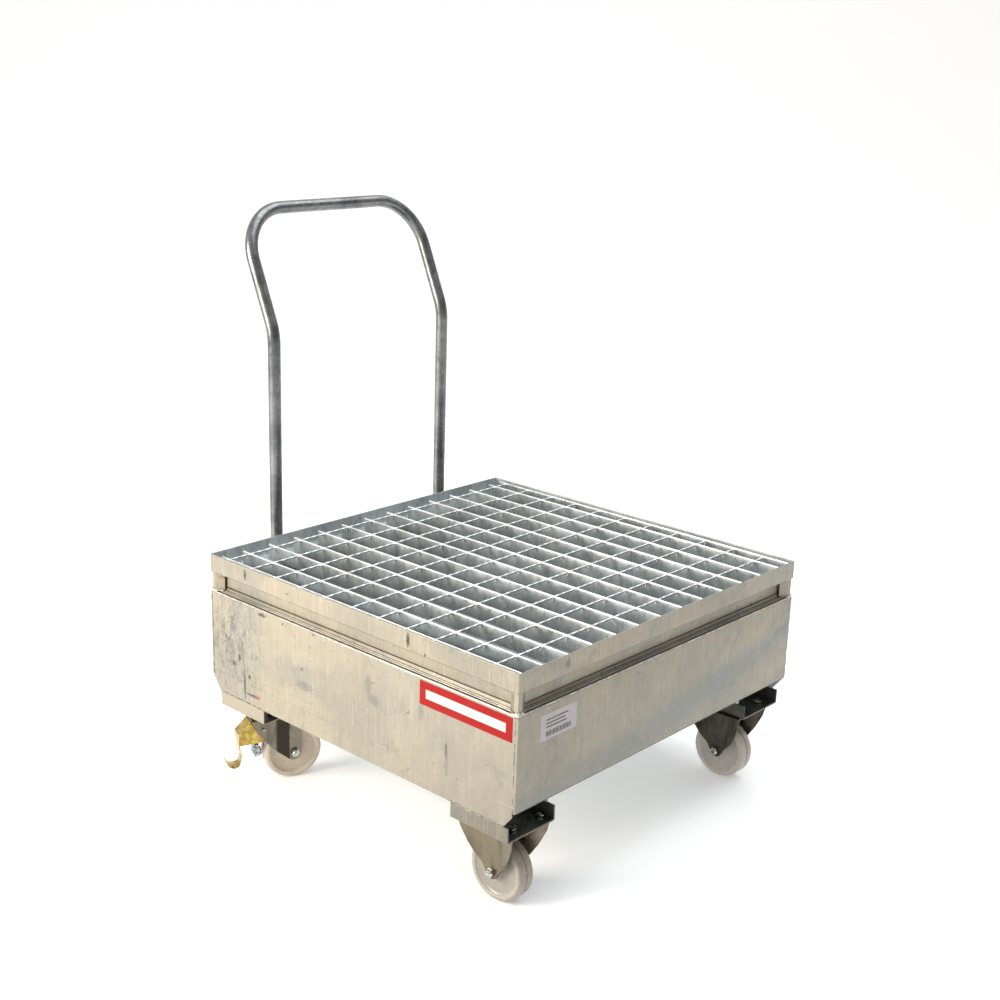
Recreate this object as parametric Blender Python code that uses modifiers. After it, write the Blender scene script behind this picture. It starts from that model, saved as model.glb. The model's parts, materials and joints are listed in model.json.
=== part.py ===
"""Spill trolley for one steel drum: a galvanised sump tray with a lift-out grating, a bent tube push
handle, two fixed castors at the front and two braked swivel castors at the rear.

Metres, +Z up, +X forward (away from the handle), floor at Z = 0. The origin is on the floor under the
middle of the whole trolley. Everything hangs on one empty at the middle of the tray.
"""

import math

import bmesh
import bpy
from mathutils import Matrix, Vector

# Tray
TRAY_X = 0.870
TRAY_Y = 0.880
TOP_Z = 0.504
FLOOR_Z = 0.235
LEDGE_Z = 0.423
SHEET = 0.003
CORNER_R = 0.004
NECK_INSET = 0.0185
NECK_R = 0.018
NECK_BOTTOM_Z = 0.4332
BAND_HEIGHT = 0.038
SKIRT_BOTTOM_Z = 0.202
SKIRT_END_X = 0.408
SKIRT_CHAMFER_TOP_Z = 0.229
POST_INSET = 0.0033
POST_FLAT = 0.0133
POST_SLANT_END = 0.0315
POST_SLANT_INSET = 0.0140
POST_SHEET = 0.0024
GAP = 0.0003

# Grating
BAR_PITCH = 0.0688
BAR_FIRST_Y = -0.3756
BAR_COUNT = 12
BAR_THICKNESS = 0.0024
BAR_DEPTH = 0.033
BAR_REAR_X = -0.404
EDGE_BAR_Y = 0.4202
ROD_PITCH = 0.0753
ROD_FIRST_X = -0.384
ROD_COUNT = 11
ROD_SIZE = 0.0050
ROD_OVERHANG = 0.0040
GRATING_TOP_Z = TOP_Z - 0.001
GRATING_PLAY = 0.0020
SUPPORT_WIDTH = 0.028
SUPPORT_DROP = 0.024

# Push handle
TUBE_R = 0.0135
TUBE_WALL = 0.0026
HANDLE_HALF_WIDTH = 0.250
HANDLE_FOOT_Z = 0.300
HANDLE_KINK_Z = 0.945
HANDLE_TOP_Z = 1.191
HANDLE_REACH = 0.108
HANDLE_BEND_R = 0.110
KINK_R = 0.120

# Castors
AXLE_X = 0.341
AXLE_Y = 0.363
SWIVEL_X = -0.335
SWIVEL_REST_DEG = 67.7
WHEEL_R = 0.0633
WHEEL_HALF_WIDTH = 0.0200
HUB_HALF_WIDTH = 0.0222
TRAIL = 0.042
BOLT_R = 0.0049
BOLT_HEAD_R = 0.0098
BOLT_HEAD_DEPTH = 0.0064
BOLT_PAST_SEAT = 0.0115
NUT_DEPTH = 0.0080
SLEEVE_R = 0.0080
LEG_INNER = 0.0276
LEG_SHEET = 0.0026
PLATE_THICKNESS = 0.0030
CHANNEL_FRONT_X = (0.277, 0.4195)
CHANNEL_REAR_X = (-0.406, -0.2645)
CHANNEL_WIDTH = 0.130
CHANNEL_BOTTOM_Z = 0.170
CHANNEL_SHEET = 0.004
PLATE_TOP_Z = CHANNEL_BOTTOM_Z - GAP
PLATE_BOTTOM_Z = PLATE_TOP_Z - PLATE_THICKNESS
CROWN_TOP_Z = 0.1545
CROWN_THICKNESS = 0.0030
PIVOT_LOCAL = (-0.028, 0.130)
PIN_R = 0.0035
KINGPIN_R = 0.0060
KINGPIN_HEAD_R = 0.0110
KINGPIN_HEAD_DEPTH = 0.0060
RACE_R = 0.0345
LOWER_RACE_R = 0.0360
PEDAL_SHEET = 0.0022
SHOE_WIDTH = 0.0240
FRONT_PLATE = (0.0700, 0.0600)
REAR_PLATE = (0.0600, 0.0520)

HANDLE_X = -(TRAY_X / 2 + GAP + TUBE_R)
SHIFT_X = (HANDLE_REACH - HANDLE_X + TUBE_R - TRAY_X / 2) / 2

ZINC = (0.56, 0.56, 0.54)


# ---------------------------------------------------------------- scene and materials

def clear_scene():
    for obj in list(bpy.data.objects):
        bpy.data.objects.remove(obj, do_unlink=True)


def new_collection(name, hidden):
    collection = bpy.data.collections.new(name)
    bpy.context.scene.collection.children.link(collection)
    collection.hide_render = hidden
    return collection


clear_scene()
PARTS = new_collection("drum_spill_trolley", False)
CUTTERS = new_collection("cutters", True)
TROLLEY = bpy.data.objects.new("trolley_middle", None)
TROLLEY.location = (SHIFT_X, 0.0, 0.0)
PARTS.objects.link(TROLLEY)


def new_empty(name, location, angle_deg=0.0, parent=TROLLEY):
    empty = bpy.data.objects.new(name, None)
    empty.location = location
    empty.rotation_euler = (0.0, 0.0, math.radians(angle_deg))
    empty.parent = parent
    PARTS.objects.link(empty)
    return empty


def finish(obj, colour, roughness, metallic, parent=TROLLEY, smooth=True):
    """Gives an object its own material and its parent, and smooths its rounded faces."""
    material = bpy.data.materials.new(obj.name)
    material.use_nodes = True
    shader = material.node_tree.nodes["Principled BSDF"]
    shader.inputs["Base Color"].default_value = (*colour, 1.0)
    shader.inputs["Roughness"].default_value = roughness
    shader.inputs["Metallic"].default_value = metallic
    obj.data.materials.append(material)
    obj.parent = parent
    if smooth and obj.type == "MESH":
        obj.data.shade_smooth()
        obj.data.set_sharp_from_angle(angle=math.radians(32))
    return obj


def mesh_object(name, bm):
    bmesh.ops.recalc_face_normals(bm, faces=bm.faces)
    mesh = bpy.data.meshes.new(name)
    bm.to_mesh(mesh)
    bm.free()
    obj = bpy.data.objects.new(name, mesh)
    obj.parent = TROLLEY
    PARTS.objects.link(obj)
    return obj


# ---------------------------------------------------------------- basic shapes

def add_box(bm, low, high):
    size = [b - a for a, b in zip(low, high)]
    middle = [(a + b) / 2 for a, b in zip(low, high)]
    matrix = Matrix.Translation(middle) @ Matrix.Diagonal((*size, 1.0))
    bmesh.ops.create_cube(bm, size=1.0, matrix=matrix)


def box(name, low, high):
    bm = bmesh.new()
    add_box(bm, low, high)
    return mesh_object(name, bm)


def cylinder(name, middle, radius, length, axis, sides):
    """A solid round bar along Y or Z."""
    matrix = Matrix.Translation(middle)
    if axis == "Y":
        matrix = matrix @ Matrix.Rotation(-math.pi / 2, 4, "X")
    bm = bmesh.new()
    bmesh.ops.create_cone(
        bm, cap_ends=True, segments=sides, radius1=radius, radius2=radius, depth=length, matrix=matrix,
    )
    return mesh_object(name, bm)


def turned(name, profile, steps, axis):
    """A closed ring turned from (radius, height) points that run down the outside and up the inside."""
    bm = bmesh.new()
    points = [bm.verts.new((radius, 0.0, height)) for radius, height in profile]
    for first, second in zip(points, points[1:] + points[:1]):
        bm.edges.new((first, second))
    mesh = bpy.data.meshes.new(name)
    bm.to_mesh(mesh)
    bm.free()
    obj = bpy.data.objects.new(name, mesh)
    PARTS.objects.link(obj)
    screw = obj.modifiers.new("turn", "SCREW")
    screw.steps = steps
    screw.render_steps = steps
    screw.use_merge_vertices = True
    screw.merge_threshold = 0.00005
    if axis == "Y":
        obj.rotation_euler = (-math.pi / 2, 0.0, 0.0)
    return obj


def ring_profile(inner, outer, low, high):
    return [(outer, high), (outer, low), (inner, low), (inner, high)]


def plate(name, outline, thickness, axis, offset):
    """A flat plate with the given outline, whose middle plane is at offset along the axis."""
    curve = bpy.data.curves.new(name, "CURVE")
    curve.dimensions = "2D"
    curve.fill_mode = "BOTH"
    curve.extrude = thickness / 2
    spline = curve.splines.new("POLY")
    spline.points.add(len(outline) - 1)
    for point, (u, v) in zip(spline.points, outline):
        point.co = (u, v, 0.0, 1.0)
    spline.use_cyclic_u = True
    helper = bpy.data.objects.new(name + "_outline", curve)
    PARTS.objects.link(helper)
    graph = bpy.context.evaluated_depsgraph_get()
    mesh = bpy.data.meshes.new_from_object(helper.evaluated_get(graph))
    bpy.data.objects.remove(helper, do_unlink=True)
    mesh.name = name
    if axis == "X":
        turn = Matrix(((0, 0, 1, offset), (1, 0, 0, 0), (0, 1, 0, 0), (0, 0, 0, 1)))
    elif axis == "Y":
        turn = Matrix(((1, 0, 0, 0), (0, 0, -1, offset), (0, 1, 0, 0), (0, 0, 0, 1)))
    else:
        turn = Matrix.Translation((0.0, 0.0, offset))
    bm = bmesh.new()
    bm.from_mesh(mesh)
    bmesh.ops.remove_doubles(bm, verts=bm.verts, dist=0.00002)
    bmesh.ops.transform(bm, matrix=turn, verts=bm.verts)
    bpy.data.meshes.remove(mesh)
    return mesh_object(name, bm)


def combine(target, tool, operation):
    """Joins a tool to the target or cuts it away. The tool stays in the cutters' collection."""
    for collection in list(tool.users_collection):
        collection.objects.unlink(tool)
    CUTTERS.objects.link(tool)
    tool.hide_render = True
    tool.display_type = "WIRE"
    boolean = target.modifiers.new(operation.lower(), "BOOLEAN")
    boolean.operation = operation
    boolean.solver = "EXACT"
    boolean.object = tool


def arc(centre, radius, start_deg, end_deg, count):
    """Points along an arc, with its two ends."""
    points = []
    for index in range(count + 1):
        angle = math.radians(start_deg + (end_deg - start_deg) * index / count)
        points.append((centre[0] + radius * math.cos(angle), centre[1] + radius * math.sin(angle)))
    return points


# ---------------------------------------------------------------- tray

def rectangle_loop(bm, inset, z, radius):
    """Points of a rounded rectangle that lies inset from the tray's outer faces."""
    half_x = TRAY_X / 2 - inset
    half_y = TRAY_Y / 2 - inset
    loop = []
    for sign_x, sign_y, start in ((1, 1, 0), (-1, 1, 90), (-1, -1, 180), (1, -1, 270)):
        centre = (sign_x * (half_x - radius), sign_y * (half_y - radius))
        for x, y in arc(centre, radius, start, start + 90, 4):
            loop.append(bm.verts.new((x, y, z)))
    return loop


def sheet_ring(name, sections, floor=False):
    """A sheet metal ring round the tray, from (inset, height, corner radius) sections bottom to top."""
    bm = bmesh.new()
    loops = [rectangle_loop(bm, inset, z, radius) for inset, z, radius in sections]
    for lower, upper in zip(loops, loops[1:]):
        for index in range(len(lower)):
            after = (index + 1) % len(lower)
            bm.faces.new((lower[index], lower[after], upper[after], upper[index]))
    if floor:
        bm.faces.new(list(reversed(loops[0])))
    mesh = bpy.data.meshes.new(name)
    bm.to_mesh(mesh)
    bm.free()
    obj = bpy.data.objects.new(name, mesh)
    PARTS.objects.link(obj)
    shell = obj.modifiers.new("sheet", "SOLIDIFY")
    shell.thickness = SHEET
    shell.offset = -1.0
    shell.use_even_offset = True
    shell.use_quality_normals = True
    return obj


def make_sump_tray():
    ledge_inner = NECK_INSET - 0.0015
    sections = [
        (0.0, FLOOR_Z, CORNER_R),
        (0.0, LEDGE_Z - 0.0015, CORNER_R),
        (0.0012, LEDGE_Z, CORNER_R),
        (ledge_inner, LEDGE_Z + 0.0010, 0.012),
        (ledge_inner + 0.0008, LEDGE_Z + 0.0055, 0.012),
        (NECK_INSET, NECK_BOTTOM_Z - 0.0006, 0.012),
    ]
    tray = sheet_ring("sump_tray", sections, floor=True)
    flat_x = TRAY_X / 2 - CORNER_R - 0.002
    outline = [
        (-flat_x, SKIRT_CHAMFER_TOP_Z), (-SKIRT_END_X, SKIRT_BOTTOM_Z), (SKIRT_END_X, SKIRT_BOTTOM_Z),
        (flat_x, SKIRT_CHAMFER_TOP_Z), (flat_x, FLOOR_Z + 0.012), (-flat_x, FLOOR_Z + 0.012),
    ]
    thickness = SHEET + 0.0004
    for side in (-1, 1):
        offset = side * (TRAY_Y / 2 - thickness / 2 + 0.00005)
        skirt = plate("skirt_outline", outline, thickness, "Y", offset)
        combine(tray, skirt, "UNION")
    return finish(tray, ZINC, 0.42, 0.85)


def make_rim_frame():
    band_bottom = TOP_Z - BAND_HEIGHT
    sections = [
        (NECK_INSET, NECK_BOTTOM_Z, NECK_R),
        (NECK_INSET, band_bottom, NECK_R),
        (0.0, band_bottom, CORNER_R),
        (0.0, TOP_Z, CORNER_R),
    ]
    return finish(sheet_ring("rim_frame", sections), ZINC, 0.42, 0.85)


def make_corner_posts():
    """Bent sheet pillars: a square corner whose two sides slant back to the neck."""
    bottom = LEDGE_Z + 0.0010 + GAP
    top = TOP_Z - BAND_HEIGHT - GAP
    near = POST_INSET
    outer = [(POST_SLANT_END, POST_SLANT_INSET), (POST_FLAT, near), (near, near)]
    inner = [(near + POST_SHEET, near + POST_SHEET), (POST_FLAT + 0.0006, near + POST_SHEET)]
    inner += [(POST_SLANT_END - 0.0012, POST_SLANT_INSET + 0.0021)]
    outline = outer + [(v, u) for u, v in outer[-2::-1]]
    outline += [(v, u) for u, v in inner[::-1]] + inner[1:]
    for end, sign_x in (("front", 1), ("rear", -1)):
        for side, sign_y in (("left", 1), ("right", -1)):
            placed = [(sign_x * (TRAY_X / 2 - u), sign_y * (TRAY_Y / 2 - v)) for u, v in outline]
            name = f"corner_post_{end}_{side}"
            post = plate(name, placed, top - bottom, "Z", (bottom + top) / 2)
            finish(post, ZINC, 0.45, 0.8, smooth=False)


def make_grating_support():
    outer = NECK_INSET + SHEET + GAP
    shelf_z = TOP_Z - BAND_HEIGHT + SHEET
    sections = [
        (outer, shelf_z - SUPPORT_DROP, 0.016),
        (outer, shelf_z, 0.016),
        (outer + SUPPORT_WIDTH, shelf_z, 0.006),
    ]
    return finish(sheet_ring("grating_support_angle", sections), ZINC, 0.45, 0.85)


def make_floor_bearers():
    inner = TRAY_Y / 2 - CHANNEL_WIDTH
    for side, sign in (("left", 1), ("right", -1)):
        ys = sorted((sign * inner, sign * (inner + CHANNEL_SHEET)))
        low = (CHANNEL_REAR_X[0] + 0.004, ys[0], SKIRT_BOTTOM_Z)
        high = (CHANNEL_FRONT_X[1] - 0.017, ys[1], FLOOR_Z - GAP)
        finish(box(f"floor_bearer_{side}", low, high), ZINC, 0.5, 0.8)


# ---------------------------------------------------------------- grating

def make_grating():
    """Deep bearing bars along X, and square cross rods along Y let into their top edges."""
    bottom = GRATING_TOP_Z - BAR_DEPTH
    inner_x = TRAY_X / 2 - SHEET - GRATING_PLAY
    inner_y = TRAY_Y / 2 - SHEET - GRATING_PLAY
    first_edge_y = -inner_y + ROD_OVERHANG + BAR_THICKNESS / 2
    bar_ys = [first_edge_y] + [BAR_FIRST_Y + BAR_PITCH * n for n in range(BAR_COUNT)] + [EDGE_BAR_Y]
    rods = bmesh.new()
    rod_top = GRATING_TOP_Z - 0.0004
    for index in range(ROD_COUNT):
        x = ROD_FIRST_X + ROD_PITCH * index
        low = (x - ROD_SIZE / 2, -inner_y, rod_top - ROD_SIZE)
        high = (x + ROD_SIZE / 2, EDGE_BAR_Y + ROD_OVERHANG + BAR_THICKNESS / 2, rod_top)
        add_box(rods, low, high)
    rods = mesh_object("grating_rods", rods)
    bars = bmesh.new()
    for y in bar_ys:
        low = (BAR_REAR_X, y - BAR_THICKNESS / 2, bottom)
        high = (inner_x, y + BAR_THICKNESS / 2, GRATING_TOP_Z)
        add_box(bars, low, high)
    grating = mesh_object("grating", bars)
    combine(grating, rods, "UNION")
    return finish(grating, (0.66, 0.68, 0.69), 0.35, 0.9, smooth=False)


# ---------------------------------------------------------------- push handle

def rounded_path(corners, segments):
    """Points along straight runs whose corners are rounded. Each corner is (point, radius)."""
    points = [Vector(corners[0][0])]
    for index in range(1, len(corners) - 1):
        corner = Vector(corners[index][0])
        radius = corners[index][1]
        before = (Vector(corners[index - 1][0]) - corner).normalized()
        after = (Vector(corners[index + 1][0]) - corner).normalized()
        half = before.angle(after) / 2
        reach = radius / math.tan(half)
        centre = corner + (before + after).normalized() * (radius / math.sin(half))
        start = corner + before * reach
        end = corner + after * reach
        for step in range(segments + 1):
            spoke = (start - centre).normalized().slerp((end - centre).normalized(), step / segments)
            points.append(centre + spoke * radius)
    points.append(Vector(corners[-1][0]))
    return points


def make_push_handle():
    top_x = HANDLE_X - HANDLE_REACH
    corners = []
    for side in (-1, 1):
        y = side * HANDLE_HALF_WIDTH
        leg = [
            ((HANDLE_X, y, HANDLE_FOOT_Z), 0.0),
            ((HANDLE_X, y, HANDLE_KINK_Z), KINK_R),
            ((top_x, y, HANDLE_TOP_Z), HANDLE_BEND_R),
        ]
        corners += leg if side < 0 else leg[::-1]
    points = rounded_path(corners, 7)
    curve = bpy.data.curves.new("push_handle", "CURVE")
    curve.dimensions = "3D"
    curve.bevel_depth = TUBE_R
    curve.bevel_resolution = 2
    curve.use_fill_caps = False
    spline = curve.splines.new("POLY")
    spline.points.add(len(points) - 1)
    for point, place in zip(spline.points, points):
        point.co = (*place, 1.0)
    helper = bpy.data.objects.new("push_handle_route", curve)
    PARTS.objects.link(helper)
    graph = bpy.context.evaluated_depsgraph_get()
    mesh = bpy.data.meshes.new_from_object(helper.evaluated_get(graph))
    mesh.name = "push_handle"
    bpy.data.objects.remove(helper, do_unlink=True)
    handle = bpy.data.objects.new("push_handle", mesh)
    PARTS.objects.link(handle)
    wall = handle.modifiers.new("wall", "SOLIDIFY")
    wall.thickness = TUBE_WALL
    wall.offset = -1.0
    return finish(handle, (0.62, 0.62, 0.60), 0.3, 0.9)


# ---------------------------------------------------------------- castors

def make_channel(name, ends, side):
    """An open-topped U channel under a corner of the tray, its outer flange in line with the skirt."""
    outer = TRAY_Y / 2
    inner = TRAY_Y / 2 - CHANNEL_WIDTH
    top = SKIRT_BOTTOM_Z - GAP
    low = CHANNEL_BOTTOM_Z
    sheet = CHANNEL_SHEET
    bend = arc((outer - sheet, low + sheet), sheet, -90, 0, 3)
    bend_inner = arc((inner + sheet, low + sheet), sheet, 180, 270, 3)
    outline = bend_inner + bend + [
        (outer, top), (outer - sheet, top), (outer - sheet, low + sheet),
        (inner + sheet, low + sheet), (inner + sheet, top), (inner, top),
    ]
    outline = [(side * y, z) for y, z in outline]
    middle = (ends[0] + ends[1]) / 2
    channel = plate(name, outline, ends[1] - ends[0], "X", middle)
    return finish(channel, (0.50, 0.49, 0.46), 0.45, 0.8)


def fold(bm, point, normal, slope):
    """Bends a sheet along the line where it meets a plane: what lies beyond leans out along Y."""
    geometry = bm.verts[:] + bm.edges[:] + bm.faces[:]
    bmesh.ops.bisect_plane(bm, geom=geometry, plane_co=point, plane_no=normal, dist=0.00001)
    for vert in bm.verts:
        beyond = (vert.co - Vector(point)).dot(Vector(normal))
        if beyond > 0.00001:
            vert.co.y += slope * beyond


def folded_leg(outline, folds, side):
    """One pressed fork leg on the side of the wheel that side gives, from its outline and folds."""
    blank = plate("leg_blank", outline, LEG_SHEET, "Y", LEG_INNER + LEG_SHEET / 2)
    bm = bmesh.new()
    bm.from_mesh(blank.data)
    bpy.data.objects.remove(blank, do_unlink=True)
    for point, normal, slope in folds:
        fold(bm, point, normal, slope)
    if side < 0:
        bmesh.ops.scale(bm, vec=(1.0, -1.0, 1.0), verts=bm.verts)
        bmesh.ops.reverse_faces(bm, faces=bm.faces)
    return mesh_object("leg_form", bm)


def make_fork(name, base, outline, folds, holes, parent, raised=None):
    """A fork: a crown or plate, two folded legs, and round holes across it at the (x, z) places."""
    fork = base
    fork.name = name
    fork.parent = parent
    for side in (-1, 1):
        leg = folded_leg(outline, folds, side)
        leg.parent = parent
        combine(fork, leg, "UNION")
    if raised is not None:
        raised.parent = parent
        combine(fork, raised, "UNION")
    for index, (x, z, radius) in enumerate(holes):
        hole = cylinder(f"{name}_hole_{index}", (x, 0.0, z), radius, 0.2, "Y", 16)
        hole.parent = parent
        combine(fork, hole, "DIFFERENCE")
    return fork


def front_leg_outline():
    half = [(0.0695, PLATE_BOTTOM_Z + 0.001), (0.0640, 0.142), (0.0520, 0.1136), (0.0390, 0.091)]
    tip = arc((0.0, WHEEL_R), 0.0145, -20, -160, 6)
    right = half + [(0.0215, 0.072)]
    left = [(-x, z) for x, z in reversed(right)]
    return right + tip + left


def rear_leg_outline():
    leading = [(-0.054, CROWN_TOP_Z - 0.001), (-0.050, 0.142), (-0.040, 0.122), (-0.022, 0.098), (0.004, 0.070)]
    tip = arc((TRAIL - 0.002, WHEEL_R), 0.0175, -125, -5, 6)
    return leading + tip + [(0.0570, 0.0775), (0.0570, CROWN_TOP_Z - 0.001)]


def make_wheel(name, parent):
    """A solid nylon wheel turned about its axle: rounded tread, dished sides and a hub."""
    half = WHEEL_HALF_WIDTH
    radius = WHEEL_R
    right = [
        (radius, half - 0.0060), (radius - 0.0040, half), (radius - 0.0125, half),
        (radius - 0.0160, half - 0.0055), (0.0172, half - 0.0055), (0.0155, HUB_HALF_WIDTH),
        (SLEEVE_R + GAP, HUB_HALF_WIDTH),
    ]
    left = [(r, -z) for r, z in right]
    profile = left[::-1] + right
    profile = [(r, z) for r, z in reversed(profile)]
    wheel = turned(name, profile, 36, "Y")
    return finish(wheel, (0.80, 0.77, 0.69), 0.45, 0.0, parent)


def hex_outline(radius):
    return [(radius * math.cos(math.radians(60 * n)), radius * math.sin(math.radians(60 * n))) for n in range(6)]


def make_axle(prefix, parent, head_side, leg_outer):
    """Bolt, nut and spacer sleeve of one wheel. The parent's origin is the wheel's centre."""
    seat = leg_outer + GAP
    nut_end = -(seat + BOLT_PAST_SEAT)
    head_end = seat + BOLT_HEAD_DEPTH - 0.001
    middle = head_side * (nut_end + head_end) / 2
    shank = cylinder(prefix + "_axle_bolt", (0, middle, 0), BOLT_R, head_end - nut_end, "Y", 16)
    head_middle = head_side * (seat + BOLT_HEAD_DEPTH / 2)
    head = plate("bolt_head", hex_outline(BOLT_HEAD_R), BOLT_HEAD_DEPTH, "Y", head_middle)
    head.parent = parent
    shank.parent = parent
    combine(shank, head, "UNION")
    finish(shank, (0.60, 0.60, 0.58), 0.3, 0.95, parent)
    nut_middle = -head_side * (seat + NUT_DEPTH / 2)
    nut = plate(prefix + "_axle_nut", hex_outline(BOLT_HEAD_R), NUT_DEPTH, "Y", nut_middle)
    nut.parent = parent
    bore = cylinder(prefix + "_nut_bore", (0, 0, 0), BOLT_R + GAP, 0.2, "Y", 16)
    bore.parent = parent
    combine(nut, bore, "DIFFERENCE")
    finish(nut, (0.60, 0.60, 0.58), 0.35, 0.95, parent)
    half = LEG_INNER - GAP
    sleeve = turned(prefix + "_axle_sleeve", ring_profile(BOLT_R + GAP, SLEEVE_R, -half, half), 20, "Y")
    finish(sleeve, (0.55, 0.55, 0.53), 0.35, 0.95, parent)


def make_front_castor(side, sign):
    prefix = f"front_{side}"
    make_channel(f"{prefix}_castor_channel", CHANNEL_FRONT_X, sign)
    ground = new_empty(f"{prefix}_castor", (AXLE_X, sign * AXLE_Y, 0.0))
    half_x, half_y = FRONT_PLATE
    base = box("fork_plate", (-half_x, -half_y, PLATE_BOTTOM_Z), (half_x, half_y, PLATE_TOP_Z))
    folds = [
        ((0.0, 0.0, 0.086), (0.0, 0.0, 1.0), 0.085),
        ((0.026, 0.0, 0.0), (1.0, 0.0, 0.0), 0.38),
        ((-0.026, 0.0, 0.0), (-1.0, 0.0, 0.0), 0.38),
    ]
    holes = [(0.0, WHEEL_R, BOLT_R + GAP)]
    fork = make_fork(f"{prefix}_fork", base, front_leg_outline(), folds, holes, ground)
    finish(fork, (0.55, 0.52, 0.46), 0.45, 0.75, ground)
    axle = new_empty(f"{prefix}_axle", (AXLE_X, sign * AXLE_Y, WHEEL_R))
    make_wheel(f"{prefix}_wheel", axle)
    make_axle(prefix, axle, -1, LEG_INNER + LEG_SHEET)


def make_swivel_head(prefix, ground):
    """Top plate, upper ball race and kingpin between the channel and the fork."""
    half_x, half_y = REAR_PLATE
    top_plate = box(f"{prefix}_top_plate", (-half_x, -half_y, PLATE_BOTTOM_Z), (half_x, half_y, PLATE_TOP_Z))
    bevel = top_plate.modifiers.new("corners", "BEVEL")
    bevel.width = 0.0008
    bevel.segments = 1
    finish(top_plate, (0.56, 0.55, 0.52), 0.4, 0.85, ground)
    race_top = PLATE_BOTTOM_Z - GAP
    race_low = CROWN_TOP_Z + 0.0030
    race_bore = 0.0125
    profile = [
        (RACE_R - 0.0045, race_top), (RACE_R, race_top - 0.003), (RACE_R, race_low + 0.001),
        (RACE_R - 0.0015, race_low), (race_bore, race_low), (race_bore, race_top),
    ]
    race = turned(f"{prefix}_swivel_race", profile, 24, "Z")
    finish(race, (0.58, 0.57, 0.54), 0.35, 0.9, ground)
    head_top = CROWN_TOP_Z - CROWN_THICKNESS - GAP
    head_low = head_top - KINGPIN_HEAD_DEPTH
    pin_low = head_low + 0.0005
    middle = (0, 0, (pin_low + race_top) / 2)
    pin = cylinder(f"{prefix}_kingpin", middle, KINGPIN_R, race_top - pin_low, "Z", 20)
    middle = (0, 0, (head_low + head_top) / 2)
    head = cylinder("kingpin_head", middle, KINGPIN_HEAD_R, KINGPIN_HEAD_DEPTH, "Z", 20)
    head.parent = ground
    pin.parent = ground
    combine(pin, head, "UNION")
    finish(pin, (0.55, 0.54, 0.52), 0.35, 0.95, ground)


def make_rear_fork(prefix, turn):
    half_width = LEG_INNER + LEG_SHEET
    outline = [(-0.054, -half_width), (0.040, -half_width), (0.057, -0.018)]
    outline = outline + [(x, -y) for x, y in reversed(outline)]
    base = plate("crown", outline, CROWN_THICKNESS, "Z", CROWN_TOP_Z - CROWN_THICKNESS / 2)
    raised = cylinder("lower_race", (0, 0, CROWN_TOP_Z + 0.0008), LOWER_RACE_R, 0.0034, "Z", 32)
    folds = [((0.004, 0.0, 0.0), (-1.0, 0.0, 0.0), 0.16)]
    holes = [
        (TRAIL, WHEEL_R, BOLT_R + GAP),
        (PIVOT_LOCAL[0], PIVOT_LOCAL[1], PIN_R + GAP),
    ]
    fork = make_fork(f"{prefix}_fork", base, rear_leg_outline(), folds, holes, turn, raised)
    bore = cylinder("kingpin_bore", (0, 0, CROWN_TOP_Z), KINGPIN_R + GAP, 0.03, "Z", 20)
    bore.parent = turn
    combine(fork, bore, "DIFFERENCE")
    return finish(fork, (0.50, 0.49, 0.46), 0.42, 0.8, turn)


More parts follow.
